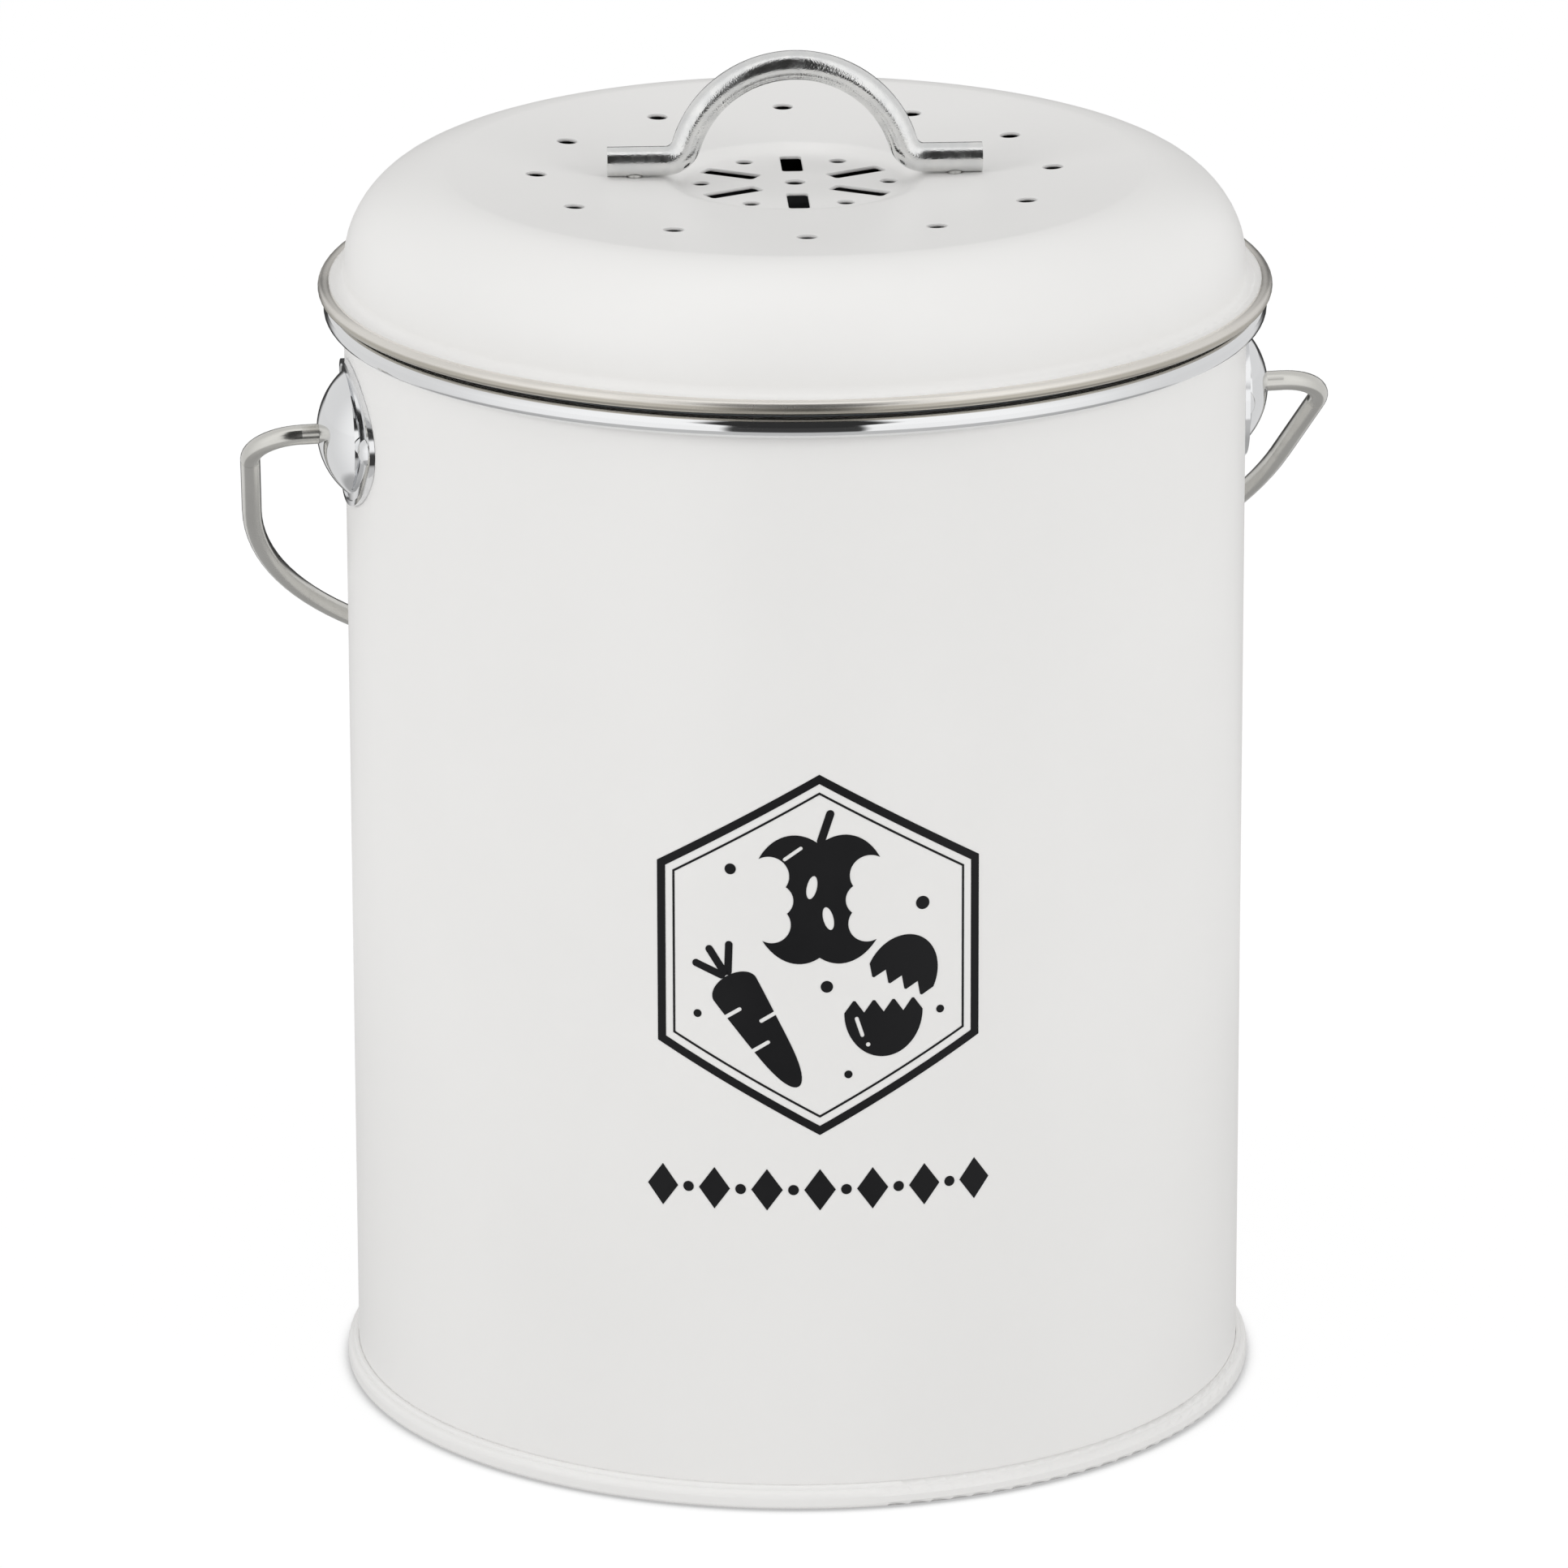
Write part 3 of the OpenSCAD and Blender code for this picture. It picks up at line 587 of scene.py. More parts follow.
@dataclass
class FlatShapes:
    """Cuts flat silhouettes, drawn in millimetres on the XY plane and one unit thick.

    Attributes:
        sides: Corners of a round shape.
        slab: Lower and upper face of a shape.
        cutter_slab: Lower and upper face of a shape that cuts another one.
        bar_round: How much of a bar's half width its corners are rounded by.
        bar_steps: Steps in each rounded corner of a bar.
        waist: How much a root draws in on its way down.
        shoulder: How high a root's shoulder is, for its half width.
        teeth: How many teeth a broken edge has.
        tooth: Depth of those teeth, for half the oval's height.
        level: How far below its middle a corner counts as the oval's lower half.
        count: How many shapes have been made.
    """

    sides: int = 72
    slab: Pair = (0.0, 1.0)
    cutter_slab: Pair = (-1.0, 2.0)
    bar_round: float = 0.98
    bar_steps: int = 8
    waist: float = 0.12
    shoulder: float = 0.62
    teeth: int = 4
    tooth: float = 0.30
    level: float = 0.001
    count: int = 0

    def thicken(self, middle: Pair, turn: float, tall: bool = False) -> Piece:
        """Puts the new flat shape in its place and extrudes it, further when it is a cutter.

        Args:
            middle: Its middle, across and upwards.
            turn: Its turn in degrees.
            tall: Whether it is a cutter.

        Returns:
            The solid shape.
        """
        self.count += 1
        shape = take(f"shape_{self.count:03d}")
        shape.rotation_euler = (0.0, 0.0, math.radians(turn))
        shape.location = (*middle, 0.0)
        settle(shape)
        edit_all(shape)
        low, high = self.cutter_slab if tall else self.slab
        bpy.ops.transform.translate(value=(0.0, 0.0, low))
        bpy.ops.mesh.extrude_region_move(TRANSFORM_OT_translate={"value": (0, 0, high - low)})
        bpy.ops.mesh.select_all(action="SELECT")
        bpy.ops.mesh.normals_make_consistent(inside=False)
        bpy.ops.object.mode_set(mode="OBJECT")
        shape.select_set(False)
        return shape

    def round_or_pointed(self, corners: int, middle: Pair, half: Pair, turn: float = 0.0,
                         tall: bool = False) -> Piece:
        """Makes a shape with its corners on an oval.

        Args:
            corners: How many corners it has.
            middle: Its middle, across and upwards.
            half: Half its width and half its height.
            turn: Its turn in degrees.
            tall: Whether it is a cutter.

        Returns:
            The solid shape.
        """
        deselect()
        bpy.ops.mesh.primitive_circle_add(vertices=corners, radius=1.0, fill_type="NGON")
        bpy.context.active_object.scale = (*half, 1.0)
        return self.thicken(middle, turn, tall)

    def disc(self, x: float, y: float, half_w: float, half_h: float, turn: float = 0.0,
             tall: bool = False) -> Piece:
        """Makes a disc or an oval about its middle, turned in degrees."""
        return self.round_or_pointed(self.sides, (x, y), (half_w, half_h), turn, tall)

    def bar(self, x: float, y: float, length: float, width: float, turn: float,
            tall: bool = False) -> Piece:
        """Makes a bar with round ends.

        Args:
            x: Middle, across.
            y: Middle, upwards.
            length: Its length.
            width: Its width.
            turn: Its turn in degrees from across.
            tall: Whether it is a cutter.

        Returns:
            The solid shape.
        """
        deselect()
        bpy.ops.mesh.primitive_plane_add(size=1.0, location=(0.0, 0.0, 0.0))
        shape = bpy.context.active_object
        shape.scale = (length, width, 1.0)
        settle(shape)
        edit_all(shape)
        bpy.ops.mesh.bevel(offset=width / 2 * self.bar_round, segments=self.bar_steps,
                           affect="VERTICES")
        bpy.ops.object.mode_set(mode="OBJECT")
        return self.thicken((x, y), turn, tall)

    def lozenge(self, x: float, y: float, width: float, height: float) -> Piece:
        """Makes a diamond about its middle."""
        return self.round_or_pointed(4, (x, y), (width / 2, height / 2))

    def taper(self, x: float, y: float, half_w: float, length: float, turn: float) -> Piece:
        """Makes a root: a round shoulder that draws out to a blunt point downwards.

        Args:
            x: Middle of the shoulder, across.
            y: Middle of the shoulder, upwards.
            half_w: Half the shoulder's width.
            length: Length from the shoulder's middle to the point.
            turn: Its turn in degrees.

        Returns:
            The solid shape.
        """
        deselect()
        bpy.ops.mesh.primitive_circle_add(vertices=self.sides, radius=1.0, fill_type="NGON")
        shape = bpy.context.active_object
        for vertex in shape.data.vertices:
            along = -vertex.co.y
            if along > 0.0:
                vertex.co.x *= 1.0 - self.waist * math.sin(math.pi * along)
                vertex.co.y = -along * length
                vertex.co.x *= half_w
            else:
                vertex.co.x *= half_w
                vertex.co.y *= half_w * self.shoulder
        return self.thicken((x, y), turn)

    def broken_oval(self, x: float, y: float, half_w: float, half_h: float, turn: float) -> Piece:
        """Makes the upper half of an oval with a jagged lower edge.

        Args:
            x: Middle of the whole oval, across.
            y: Middle of the whole oval, upwards.
            half_w: Half its width.
            half_h: Half its height.
            turn: Its turn in degrees.

        Returns:
            The solid shape.
        """
        deselect()
        bpy.ops.mesh.primitive_circle_add(vertices=self.sides, radius=1.0, fill_type="NGON")
        shape = bpy.context.active_object
        for vertex in shape.data.vertices:
            if vertex.co.y < -self.level:
                along = (1.0 - 2.0 * math.acos(max(-1.0, min(1.0, vertex.co.x))) / math.pi)
                wave = abs((along + 1.0) / 2.0 * self.teeth % 1.0 - 0.5) * 2.0
                vertex.co.x = along
                vertex.co.y = self.tooth * (wave - 1.0)
        shape.scale = (half_w, half_h, 1.0)
        return self.thicken((x, y), turn)

    @staticmethod
    def combine(shape: Piece, tools: Iterable[Piece], joining: Joining) -> Piece:
        """Adds shapes to a shape or cuts them from it.

        Args:
            shape: The shape that stays.
            tools: The shapes that are used up.
            joining: What they do to it.

        Returns:
            The changed shape.
        """
        for tool in tools:
            apply_modifier(shape, "BOOLEAN", operation=joining.value, object=tool,
                           solver="EXACT")
            bpy.data.objects.remove(tool, do_unlink=True)
        return shape


@dataclass
class FrontPrint:
    """Black kitchen-scrap motif printed on the front of the body.

    Attributes:
        body_radius: Radius of the painted body.
        centre_height: Height of the drawing's zero line.
        turn: Its turn round the body.
        gap: Space between paint and ink.
        film: Thickness of the ink.
        strip: Width of the strips that bend, in millimetres.
        half_width: Half the width cut into strips, in millimetres.
        shapes: What cuts the silhouettes.
    """

    body_radius: float = 90.0 * MM
    centre_height: float = 107.0 * MM
    turn: float = math.radians(-8.2)
    gap: float = 0.01 * MM
    film: float = 0.05 * MM
    strip: float = 1.2
    half_width: float = 36.5
    shapes: FlatShapes = field(default_factory=FlatShapes)

    def apple_core(self) -> Piece:
        """Draws an eaten apple with scalloped bites, two pips and a stalk.

        Returns:
            The flat solid.
        """
        cut = self.shapes
        core = cut.disc(-4.4, 19.5, 9.2, 13.2, 4.0)
        core = cut.combine(core, [cut.disc(4.4, 19.5, 9.2, 13.2, -4.0)], Joining.ADD)
        bites = [cut.disc(side * x, y, r, r, tall=True)
                 for side in (-1, 1)
                 for x, y, r in ((9.9, 24.3, 4.0), (8.5, 19.3, 3.4), (9.4, 14.4, 3.8),
                                 (14.4, 19.4, 5.7))]
        bites += [cut.disc(x, y, half_w, half_h, turn, tall=True)
                  for x, y, half_w, half_h, turn in ((-1.5, 22.0, 1.0, 2.4, -12.0),
                                                     (1.7, 15.6, 1.0, 2.4, 14.0),
                                                     (0.0, 33.6, 1.9, 2.4, 0.0))]
        bites.append(cut.bar(-5.2, 28.9, 4.6, 0.75, 36.0, tall=True))
        core = cut.combine(core, bites, Joining.CUT)
        stalk = cut.bar(1.2, 34.2, 7.4, 1.6, 72.0)
        return join([core, stalk], "apple_core")

    def carrot(self) -> Piece:
        """Draws a slanting carrot with three growth rings and short stalks.

        Returns:
            The flat solid.
        """
        cut = self.shapes
        lean = 32.0
        top = Vector((-16.6, 1.0))
        down = Vector((math.sin(math.radians(lean)), -math.cos(math.radians(lean))))
        across = Vector((-down.y, down.x))
        root = cut.taper(*top, 4.9, 23.5, lean)
        rings = [cut.bar(*(top + down * fall + across * side), 4.8, 0.8, lean, tall=True)
                 for fall, side in ((4.0, -3.4), (8.2, 3.0), (12.6, -2.2))]
        root = cut.combine(root, rings, Joining.CUT)
        crown = top - down * 2.6
        stalks = []
        for turn in (lean + 56.0, lean + 90.0, lean + 124.0):
            way = Vector((math.cos(math.radians(turn)), math.sin(math.radians(turn))))
            stalks.append(cut.bar(*(crown + way * 4.1), 7.0, 1.5, turn))
        return join([root, *stalks], "carrot")

    def egg_shell(self) -> Piece:
        """Draws a cracked egg shell, its cap tipped above its bowl.

        Returns:
            The flat solid.
        """
        cut = self.shapes
        bowl = cut.broken_oval(12.6, -4.0, 7.8, 9.2, 180.0)
        cap = cut.broken_oval(16.2, 3.2, 7.0, 8.6, -24.0)
        shine = [cut.bar(7.8, -6.9, 4.4, 0.8, -72.0, tall=True),
                 cut.disc(9.5, -10.6, 0.45, 0.45, tall=True)]
        bowl = cut.combine(bowl, shine, Joining.CUT)
        return join([bowl, cap], "egg_shell")

    def frame(self) -> list[Piece]:
        """Draws the six-sided frame, its fine inner line and the dots in it.

        Returns:
            The flat solids.
        """
        cut = self.shapes
        middle = (0.0, 8.0)
        made = []
        for outer, inner in ((37.0, 35.1), (33.4, 32.9)):
            ring = cut.round_or_pointed(6, middle, (outer, outer))
            hole = cut.round_or_pointed(6, middle, (inner, inner), tall=True)
            made.append(cut.combine(ring, [hole], Joining.CUT))
        made += [cut.disc(x, y, r, r)
                 for x, y, r in ((-17.4, 25.6, 1.1), (20.4, 17.8, 1.35), (1.4, 1.6, 1.2),
                                 (-24.0, -4.4, 0.8), (24.0, -4.4, 0.8), (5.6, -16.6, 0.8))]
        return made

    def border(self) -> list[Piece]:
        """Draws the row of lozenges and dots under the frame.

        Returns:
            The flat solids.
        """
        cut = self.shapes
        row, pitch = -40.4, 10.4
        made = [cut.lozenge(i * pitch, row, 6.2, 8.6) for i in range(-3, 4)]
        made += [cut.disc((i + 0.5) * pitch, row, 1.05, 1.05) for i in range(-3, 3)]
        return made

    def build(self, shop: Paintshop) -> Piece:
        """Makes the print as one thin film bent round the body.

        Args:
            shop: Where the material comes from.

        Returns:
            The finished piece.
        """
        parts = [self.apple_core(), self.carrot(), self.egg_shell(), *self.frame(),
                 *self.border()]
        film = join(parts, "front_print")
        edit_all(film)
        steps = int(self.half_width / self.strip)
        for step in range(-steps, steps + 1):
            bpy.ops.mesh.select_all(action="SELECT")
            bpy.ops.mesh.bisect(plane_co=(step * self.strip, 0.0, 0.0),
                                plane_no=(1.0, 0.0, 0.0))
        bpy.ops.object.mode_set(mode="OBJECT")
        film.scale = (MM, MM, self.film)
        settle(film)
        film.rotation_euler = (math.radians(90.0), 0.0, 0.0)
        film.location = (0.0, -self.gap, 0.0)
        settle(film)
        xs = [vertex.co.x for vertex in film.data.vertices]
        middle = (max(xs) + min(xs)) / 2
        film.location = (-middle, 0.0, 0.0)
        settle(film)
        apply_modifier(film, "SIMPLE_DEFORM", deform_method="BEND", deform_axis="Z",
                       angle=(max(xs) - min(xs)) / self.body_radius)
        film.location = (0.0, -self.body_radius, self.centre_height)
        settle(film)
        film.rotation_euler = (0.0, 0.0, self.turn)
        settle(film)
        apply_modifier(film, "TRIANGULATE")
        shop.coat(film, Look.INK)
        radii = [math.hypot(v.co.x, v.co.y) for v in film.data.vertices]
        LOG.info("front_print radius %.6f to %.6f", min(radii), max(radii))
        return film


# ---------------- the caddy's sub-assemblies


@dataclass
class Bucket(SubAssembly):
    """Painted body with its seam, bright rim, ears and rivets, and the print.

    Attributes:
        motif: The print on the front.
    """

    looks = {
        "body_shell": Look.PAINT, "base_panel": Look.PAINT, "rim_band": Look.CHROME,
        "ear_left": Look.CHROME, "ear_right": Look.CHROME,
        "rivet_left_front": Look.CHROME, "rivet_left_back": Look.CHROME,
        "rivet_right_front": Look.CHROME, "rivet_right_back": Look.CHROME,
    }
    motif: FrontPrint = field(default_factory=FrontPrint)

    def build(self, shop: Paintshop) -> list[Piece]:
        """Builds the print on the body.

        Args:
            shop: Where the materials come from.

        Returns:
            The print.
        """
        film = self.motif.build(shop)
        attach(film, "bucket")
        return [film]


@dataclass
class Bail(SubAssembly):
    """Drawn wire bail."""

    looks = {"bail": Look.WIRE}


@dataclass
class InnerBucket(SubAssembly):
    """Moulded inner bucket."""

    looks = {"inner_bucket": Look.LINER}


@dataclass
class Lid(SubAssembly):
    """Pressed lid with its bright edge, handle and fasteners."""

    looks = {
        "lid_shell": Look.LID_PAINT, "lid_trim": Look.EDGE, "lid_handle": Look.ROD,
        "handle_screw_left": Look.FASTENER, "handle_screw_right": Look.FASTENER,
        "handle_washer_left": Look.FASTENER, "handle_washer_right": Look.FASTENER,
    }


@dataclass
class Filter(SubAssembly):
    """Moulded holder, soft gasket and the charcoal pad in the lid.

    Attributes:
        sides: Corners of the pad's outline before it is remeshed.
        voxel: Mesh size of the pad.
        edge_radius: Radius of the pad's soft edge.
        edge_steps: Steps in that edge.
        clearance: Space left round the pad.
        lumps: Depth of the felt's lumps.
        lump_size: Size of the felt's lumps.
        ease: How strongly each pass smooths the pad.
        passes: How many smoothing passes it gets.
    """

    looks = {"filter_holder": Look.HOLDER, "lid_gasket": Look.GASKET}
    sides: int = 128
    voxel: float = 1.6 * MM
    edge_radius: float = 2.2 * MM
    edge_steps: int = 4
    clearance: float = 0.25 * MM
    lumps: float = 0.45 * MM
    lump_size: float = 12.0 * MM
    ease: float = 0.5
    passes: int = 2

    def build(self, shop: Paintshop) -> list[Piece]:
        """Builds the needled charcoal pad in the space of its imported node.

        Args:
            shop: Where the materials come from.

        Returns:
            The pad.
        """
        low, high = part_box("filter_pad")
        radius = (high.x - low.x) / 2 - self.clearance
        depth = high.z - low.z - 2 * self.clearance
        deselect()
        bpy.ops.mesh.primitive_cylinder_add(vertices=self.sides, radius=radius, depth=depth,
                                            location=((low + high) / 2))
        pad = take("charcoal_pad")
        settle(pad)
        apply_modifier(pad, "BEVEL", width=self.edge_radius, segments=self.edge_steps,
                       limit_method="ANGLE")
        apply_modifier(pad, "REMESH", mode="VOXEL", voxel_size=self.voxel)
        texture = bpy.data.textures.new("felt_lumps", "CLOUDS")
        texture.noise_scale = self.lump_size
        apply_modifier(pad, "DISPLACE", texture=texture, strength=-self.lumps, mid_level=0.0)
        apply_modifier(pad, "SMOOTH", factor=self.ease, iterations=self.passes)
        pick(pad)
        bpy.ops.object.shade_smooth()
        pad.select_set(False)
        shop.coat(pad, Look.FELT)
        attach(pad, "lid")
        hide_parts("filter_pad")
        return [pad]


# ---------------- studio


@dataclass
class Camera:
    """Long lens in front of the caddy, a little above it and turned to its left.

    Attributes:
        distance: Distance from the caddy's axis, along the floor.
        sideways: Shift across the view.
        height: Height over the table.
        pitch: How far it looks down.
        roll: Its turn about the view.
        swing: How far it is turned round the caddy.
        focal_pixels: Focal length in pixels of the frame.
        frame_pixels: Width of the frame.
        sensor: Width of the sensor in millimetres.
        clip: Nearest and farthest distance that is shown.
    """

    distance: float = 2.1243
    sideways: float = -0.00246
    height: float = 0.80135
    pitch: float = math.radians(17.75)
    roll: float = math.radians(-0.15)
    swing: float = math.radians(-11.0)
    focal_pixels: float = 13588.67
    frame_pixels: float = 1932.0
    sensor: float = 36.0
    clip: Pair = (0.1, 50.0)

    def build(self) -> None:
        """Creates the camera."""
        deselect()
        bpy.ops.object.camera_add()
        camera = take("studio_camera")
        across = Vector((math.cos(self.swing), math.sin(self.swing), 0.0))
        away = Vector((-math.sin(self.swing), math.cos(self.swing), 0.0))
        ahead = away * math.cos(self.pitch) - Vector((0, 0, math.sin(self.pitch)))
        upright = across.cross(ahead)
        right = across * math.cos(self.roll) + upright * math.sin(self.roll)
        up = upright * math.cos(self.roll) - across * math.sin(self.roll)
        turn = Matrix((right, up, -ahead)).transposed().to_4x4()
        place = across * self.sideways - away * self.distance + Vector((0, 0, self.height))
        camera.matrix_world = Matrix.Translation(place) @ turn
        camera.data.sensor_width = self.sensor
        camera.data.lens = self.sensor * self.focal_pixels / self.frame_pixels
        camera.data.clip_start, camera.data.clip_end = self.clip
        bpy.context.scene.camera = camera


@dataclass(frozen=True)
class Softbox:
    """One round area lamp that looks at a point.

    Attributes:
        name: The lamp's name.
        place: Where it hangs.
        size: Its width.
        power: Its power in watts.
        aim: The point it looks at.
    """

    name: str
    place: Place
    size: float
    power: float
    aim: Place = (0.0, 0.0, 0.13)

    def build(self) -> None:
        """Creates the lamp, unseen in reflections."""
        deselect()
        bpy.ops.object.light_add(type="AREA", location=self.place)
        lamp = take(self.name)
        lamp.data.shape = "DISK"
        lamp.data.size = self.size
        lamp.data.energy = self.power
        lamp.rotation_euler = (Vector(self.aim) - Vector(self.place)).to_track_quat(
            "-Z", "Y").to_euler()
        lamp.visible_glossy = False


@dataclass(frozen=True)
class RoomTones:
    """What bright metal sees of the room.

    A bearing is the cosine of the angle from the camera's side, a rise the sine of the height.

    Attributes:
        gap: Bearings between which the dark gap behind the lens starts.
        gap_growth: How much wider each of them is high up.
        gap_grows: Rises between which it gets wider.
        gap_top: Rises between which it ends.
        gap_depth: How dark it is.
        rear: Bearings between which the dark rear starts.
        rear_top: Rises between which it ends.
        rear_depth: How dark it is.
        sides: Bearings between which the walls get lighter.
        walls: Light of the walls at the rear and at the camera's side.
    """

    gap: Pair = (0.952, 0.968)
    gap_growth: Pair = (0.075, 0.03)
    gap_grows: Pair = (0.20, 0.45)
    gap_top: Pair = (0.96, 0.88)
    gap_depth: float = 0.97
    rear: Pair = (-0.88, -0.95)
    rear_top: Pair = (0.42, 0.22)
    rear_depth: float = 0.9
    sides: Pair = (-0.3, 0.7)
    walls: Pair = (0.76, 1.03)


@dataclass(frozen=True)
class FloorTones:
    """What the lens and bright metal see of the floor.

    Attributes:
        radius: Radius of the floor.
        segments: Corners of its outline.
        white: Whiteness of the paper for all other light.
        glow_share: How much of what the lens sees is a plain glow.
        contact: How far the painted contact shadow under the caddy's foot reaches.
        contact_samples: Samples of that line.
        open_sky: Share of open surroundings over which that line fades.
        glow: Glow in that line and away from it.
        front: Bearings between which the dark strip towards the lens starts.
        front_reach: Distances from the axis over which it appears.
        front_depth: How dark it is.
        back: Bearings between which the dark rear starts.
        back_reach: Distances from the axis over which it appears.
        back_depth: How dark it is.
        sides: Bearings between which the floor gets lighter.
        light: Light of the floor at the rear and at the camera's side.
        foot_reach: Distances from the axis over which it gets its full light.
        foot_light: Share of its light near the foot and further out.
    """

    radius: float = 8.0
    segments: int = 64
    white: float = 0.78
    glow_share: float = 0.88
    contact: float = 4.0 * MM
    contact_samples: int = 8
    open_sky: Pair = (0.40, 0.85)
    glow: Pair = (0.53, 1.05)
    front: Pair = (0.952, 0.968)
    front_reach: Pair = (0.24, 0.32)
    front_depth: float = 0.95
    back: Pair = (-0.80, -0.91)
    back_reach: Pair = (0.30, 0.45)
    back_depth: float = 0.93
    sides: Pair = (-0.3, 0.7)
    light: Pair = (0.74, 0.98)
    foot_reach: Pair = (0.26, 0.31)
    foot_light: Pair = (0.55, 1.0)


@dataclass
class Studio:
    """Pale floor, white surroundings, and what bright metal sees of the room.

    Attributes:
        camera: The camera.
        room_tones: What metal sees of the room.
        floor_tones: What is seen of the floor.
        fill: Soft light from all round on everything that isn't a mirror.
        nearest: Least distance from the axis that a bearing is divided by.
        lamps: The lamps.
    """

    camera: Camera = field(default_factory=Camera)
    room_tones: RoomTones = RoomTones()
    floor_tones: FloorTones = FloorTones()
    fill: float = 0.66
    nearest: float = 0.0001
    lamps: tuple[Softbox, ...] = (
        Softbox("softbox_left", (-2.36, -0.72, 1.0), 1.3, 19.1),
        Softbox("softbox_right", (1.72, -1.78, 1.0), 1.3, 17.9),
        Softbox("softbox_top", (0.1, 0.3, 2.2), 1.6, 5.0),
    )

    def towards_camera(self, graph: Graph, direction: Socket) -> tuple[Socket, Socket]:
        """Splits a direction or place into its bearing from the lens and its height.

        Args:
            graph: The graph to add to.
            direction: The direction or place.

        Returns:
            The cosine of the bearing from the camera's side, and the upward part.
        """
        split = graph.add("ShaderNodeSeparateXYZ", None, {0: direction})
        x, y, z = split.outputs
        swing = self.camera.swing
        facing = graph.math("ADD", graph.math("MULTIPLY", x, math.sin(swing)),
                            graph.math("MULTIPLY", y, -math.cos(swing)))
        spread = graph.math("SQRT", graph.math("ADD", graph.math("MULTIPLY", x, x),
                                               graph.math("MULTIPLY", y, y)))
        cosine = graph.math("DIVIDE", facing, graph.math("MAXIMUM", spread, self.nearest))
        return cosine, z

    def room(self) -> None:
        """Fills the world: white to the lens, soft light, and a room for reflections."""
        world = bpy.data.worlds.new("studio_room")
        bpy.context.scene.world = world
        world.use_nodes = True
        graph = Graph(world.node_tree)
        direction = graph.add("ShaderNodeTexCoord").outputs["Generated"]
        bearing, rise = self.towards_camera(graph, direction)
        tones = self.room_tones
        wide = graph.ramp(rise, *tones.gap_grows)
        gap_start, gap_end = (
            graph.math("SUBTRACT", limit, graph.math("MULTIPLY", wide, growth))
            for limit, growth in zip(tones.gap, tones.gap_growth))
        lens_gap = graph.math("MULTIPLY", graph.ramp(bearing, gap_start, gap_end),
                              graph.ramp(rise, *tones.gap_top))
        rear = graph.math("MULTIPLY", graph.ramp(bearing, *tones.rear),
                          graph.ramp(rise, *tones.rear_top))
        dark = graph.math("ADD", graph.math("MULTIPLY", lens_gap, tones.gap_depth),
                          graph.math("MULTIPLY", rear, tones.rear_depth), clamp=True)
        walls = graph.ramp(bearing, *tones.sides, *tones.walls)
        seen = graph.math("MULTIPLY", walls, graph.math("SUBTRACT", 1.0, dark))
        path = graph.add("ShaderNodeLightPath")
        glossy = graph.mix(MixOf.FLOAT, path.outputs["Is Glossy Ray"], self.fill, seen)
        strength = graph.mix(MixOf.FLOAT, path.outputs["Is Camera Ray"], glossy, 1.0)
        background = graph.add("ShaderNodeBackground", None, {
            "Color": WHITE, "Strength": strength})
        output = graph.add("ShaderNodeOutputWorld")
        graph.feed(output.inputs["Surface"], background.outputs[0])

    def floor(self) -> None:
        """Lays the floor, white to the lens apart from the caddy's shadow, which is painted into
        the floor's glow near the foot.
        """
        tones = self.floor_tones
        deselect()
        bpy.ops.mesh.primitive_circle_add(vertices=tones.segments, radius=tones.radius,
                                          fill_type="NGON", location=(0.0, 0.0, 0.0))
        sheet = take("studio_floor")
        made = bpy.data.materials.new("white_paper")
        made.use_nodes = True
        graph = Graph(made.node_tree)
        place = graph.add("ShaderNodeTexCoord").outputs["Object"]
        bearing, _ = self.towards_camera(graph, place)
        reach = graph.add("ShaderNodeVectorMath", {"operation": "LENGTH"}, {0: place})
        span = reach.outputs["Value"]
        front = graph.math("MULTIPLY", graph.ramp(bearing, *tones.front),
                           graph.ramp(span, *tones.front_reach))
        back = graph.math("MULTIPLY", graph.ramp(bearing, *tones.back),
                          graph.ramp(span, *tones.back_reach))
        dark = graph.math("ADD", graph.math("MULTIPLY", front, tones.front_depth),
                          graph.math("MULTIPLY", back, tones.back_depth), clamp=True)
        sides = graph.math("MULTIPLY", graph.ramp(bearing, *tones.sides, *tones.light),
                           graph.ramp(span, *tones.foot_reach, *tones.foot_light))
        seen = graph.math("MULTIPLY", sides, graph.math("SUBTRACT", 1.0, dark))
        mirror = graph.add("ShaderNodeEmission", None, {"Color": WHITE, "Strength": seen})
        paper = graph.add("ShaderNodeBsdfDiffuse", None, {"Color": (tones.white,) * 3})
        # Painted contact shadow: ambient occlusion dims the floor's glow near the caddy's foot.
        near = graph.add("ShaderNodeAmbientOcclusion", {"samples": tones.contact_samples}, {
            "Distance": tones.contact}).outputs["AO"]
        glow = graph.add("ShaderNodeEmission", None, {
            "Color": WHITE, "Strength": graph.ramp(near, *tones.open_sky, *tones.glow)})
        to_lens = graph.blend(tones.glow_share, paper, glow)
        path = graph.add("ShaderNodeLightPath")
        bounced = graph.blend(path.outputs["Is Glossy Ray"], paper, mirror)
        shown = graph.blend(path.outputs["Is Camera Ray"], bounced, to_lens)
        output = graph.add("ShaderNodeOutputMaterial")
        graph.feed(output.inputs["Surface"], shown.outputs[0])
        sheet.data.materials.append(made)
        sheet.select_set(False)

    def build(self) -> None:
        """Sets up the camera, the room, the floor and the lamps."""
        self.camera.build()
        self.room()
        self.floor()
        for lamp in self.lamps:
            lamp.build()
        view = bpy.context.scene.view_settings
        view.view_transform = "Standard"


# ---------------- putting it together


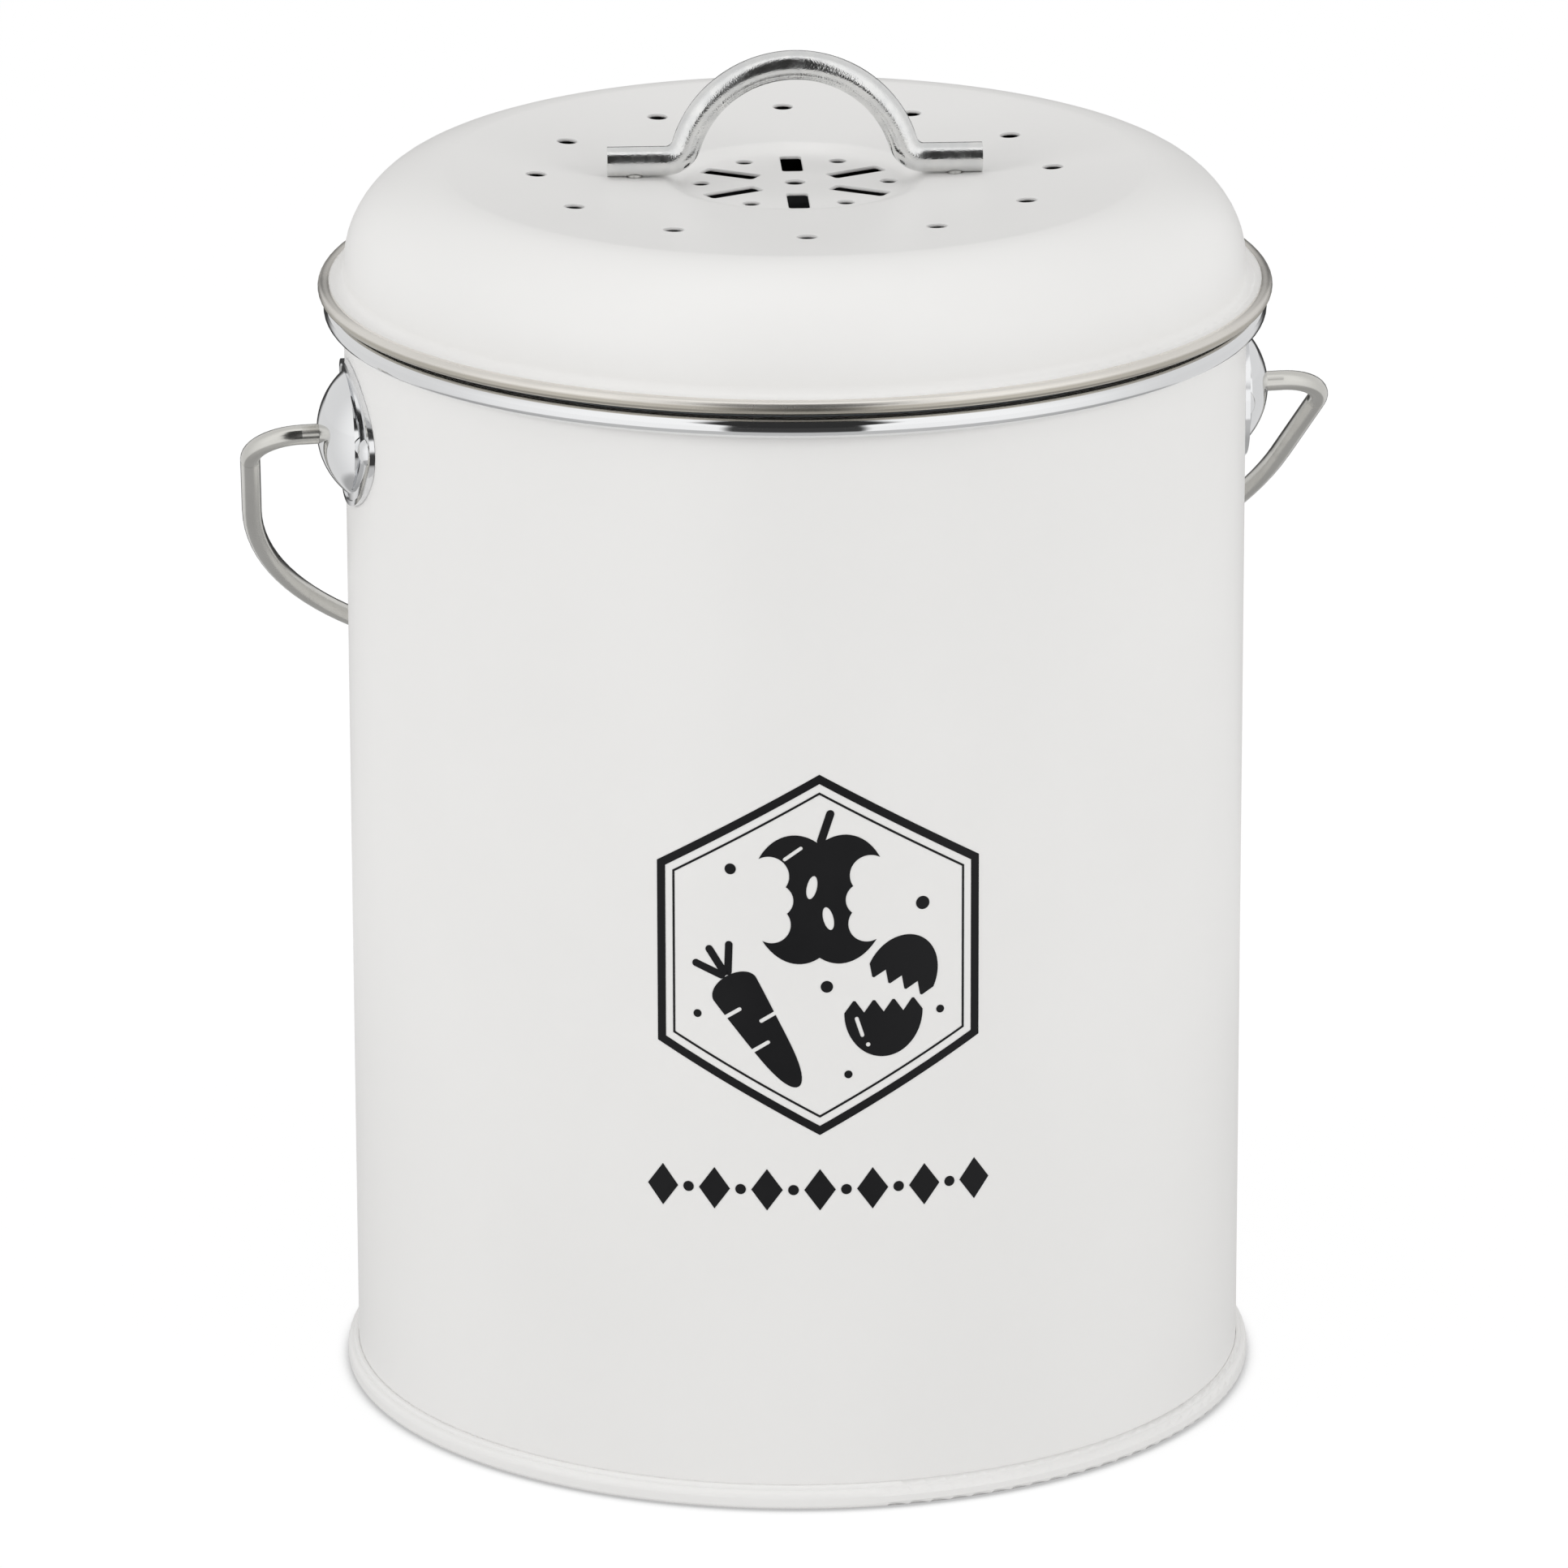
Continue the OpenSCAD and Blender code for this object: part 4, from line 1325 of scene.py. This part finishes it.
def main() -> None:
    """Loads the frame, dresses it, adds the new pieces and sets up the studio."""
    logging.basicConfig(level=logging.INFO, format="%(name)s: %(message)s")
    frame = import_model()
    deselect()
    Studio().build()
    shop = Paintshop()
    for assembly in (Bucket(), Bail(), InnerBucket(), Lid(), Filter()):
        assembly.dress(frame["nodes"], shop)
        for piece in assembly.build(shop):
            LOG.info("%s: %d faces", piece.name, len(piece.data.polygons))
    deselect()


if __name__ == "__main__":
    main()
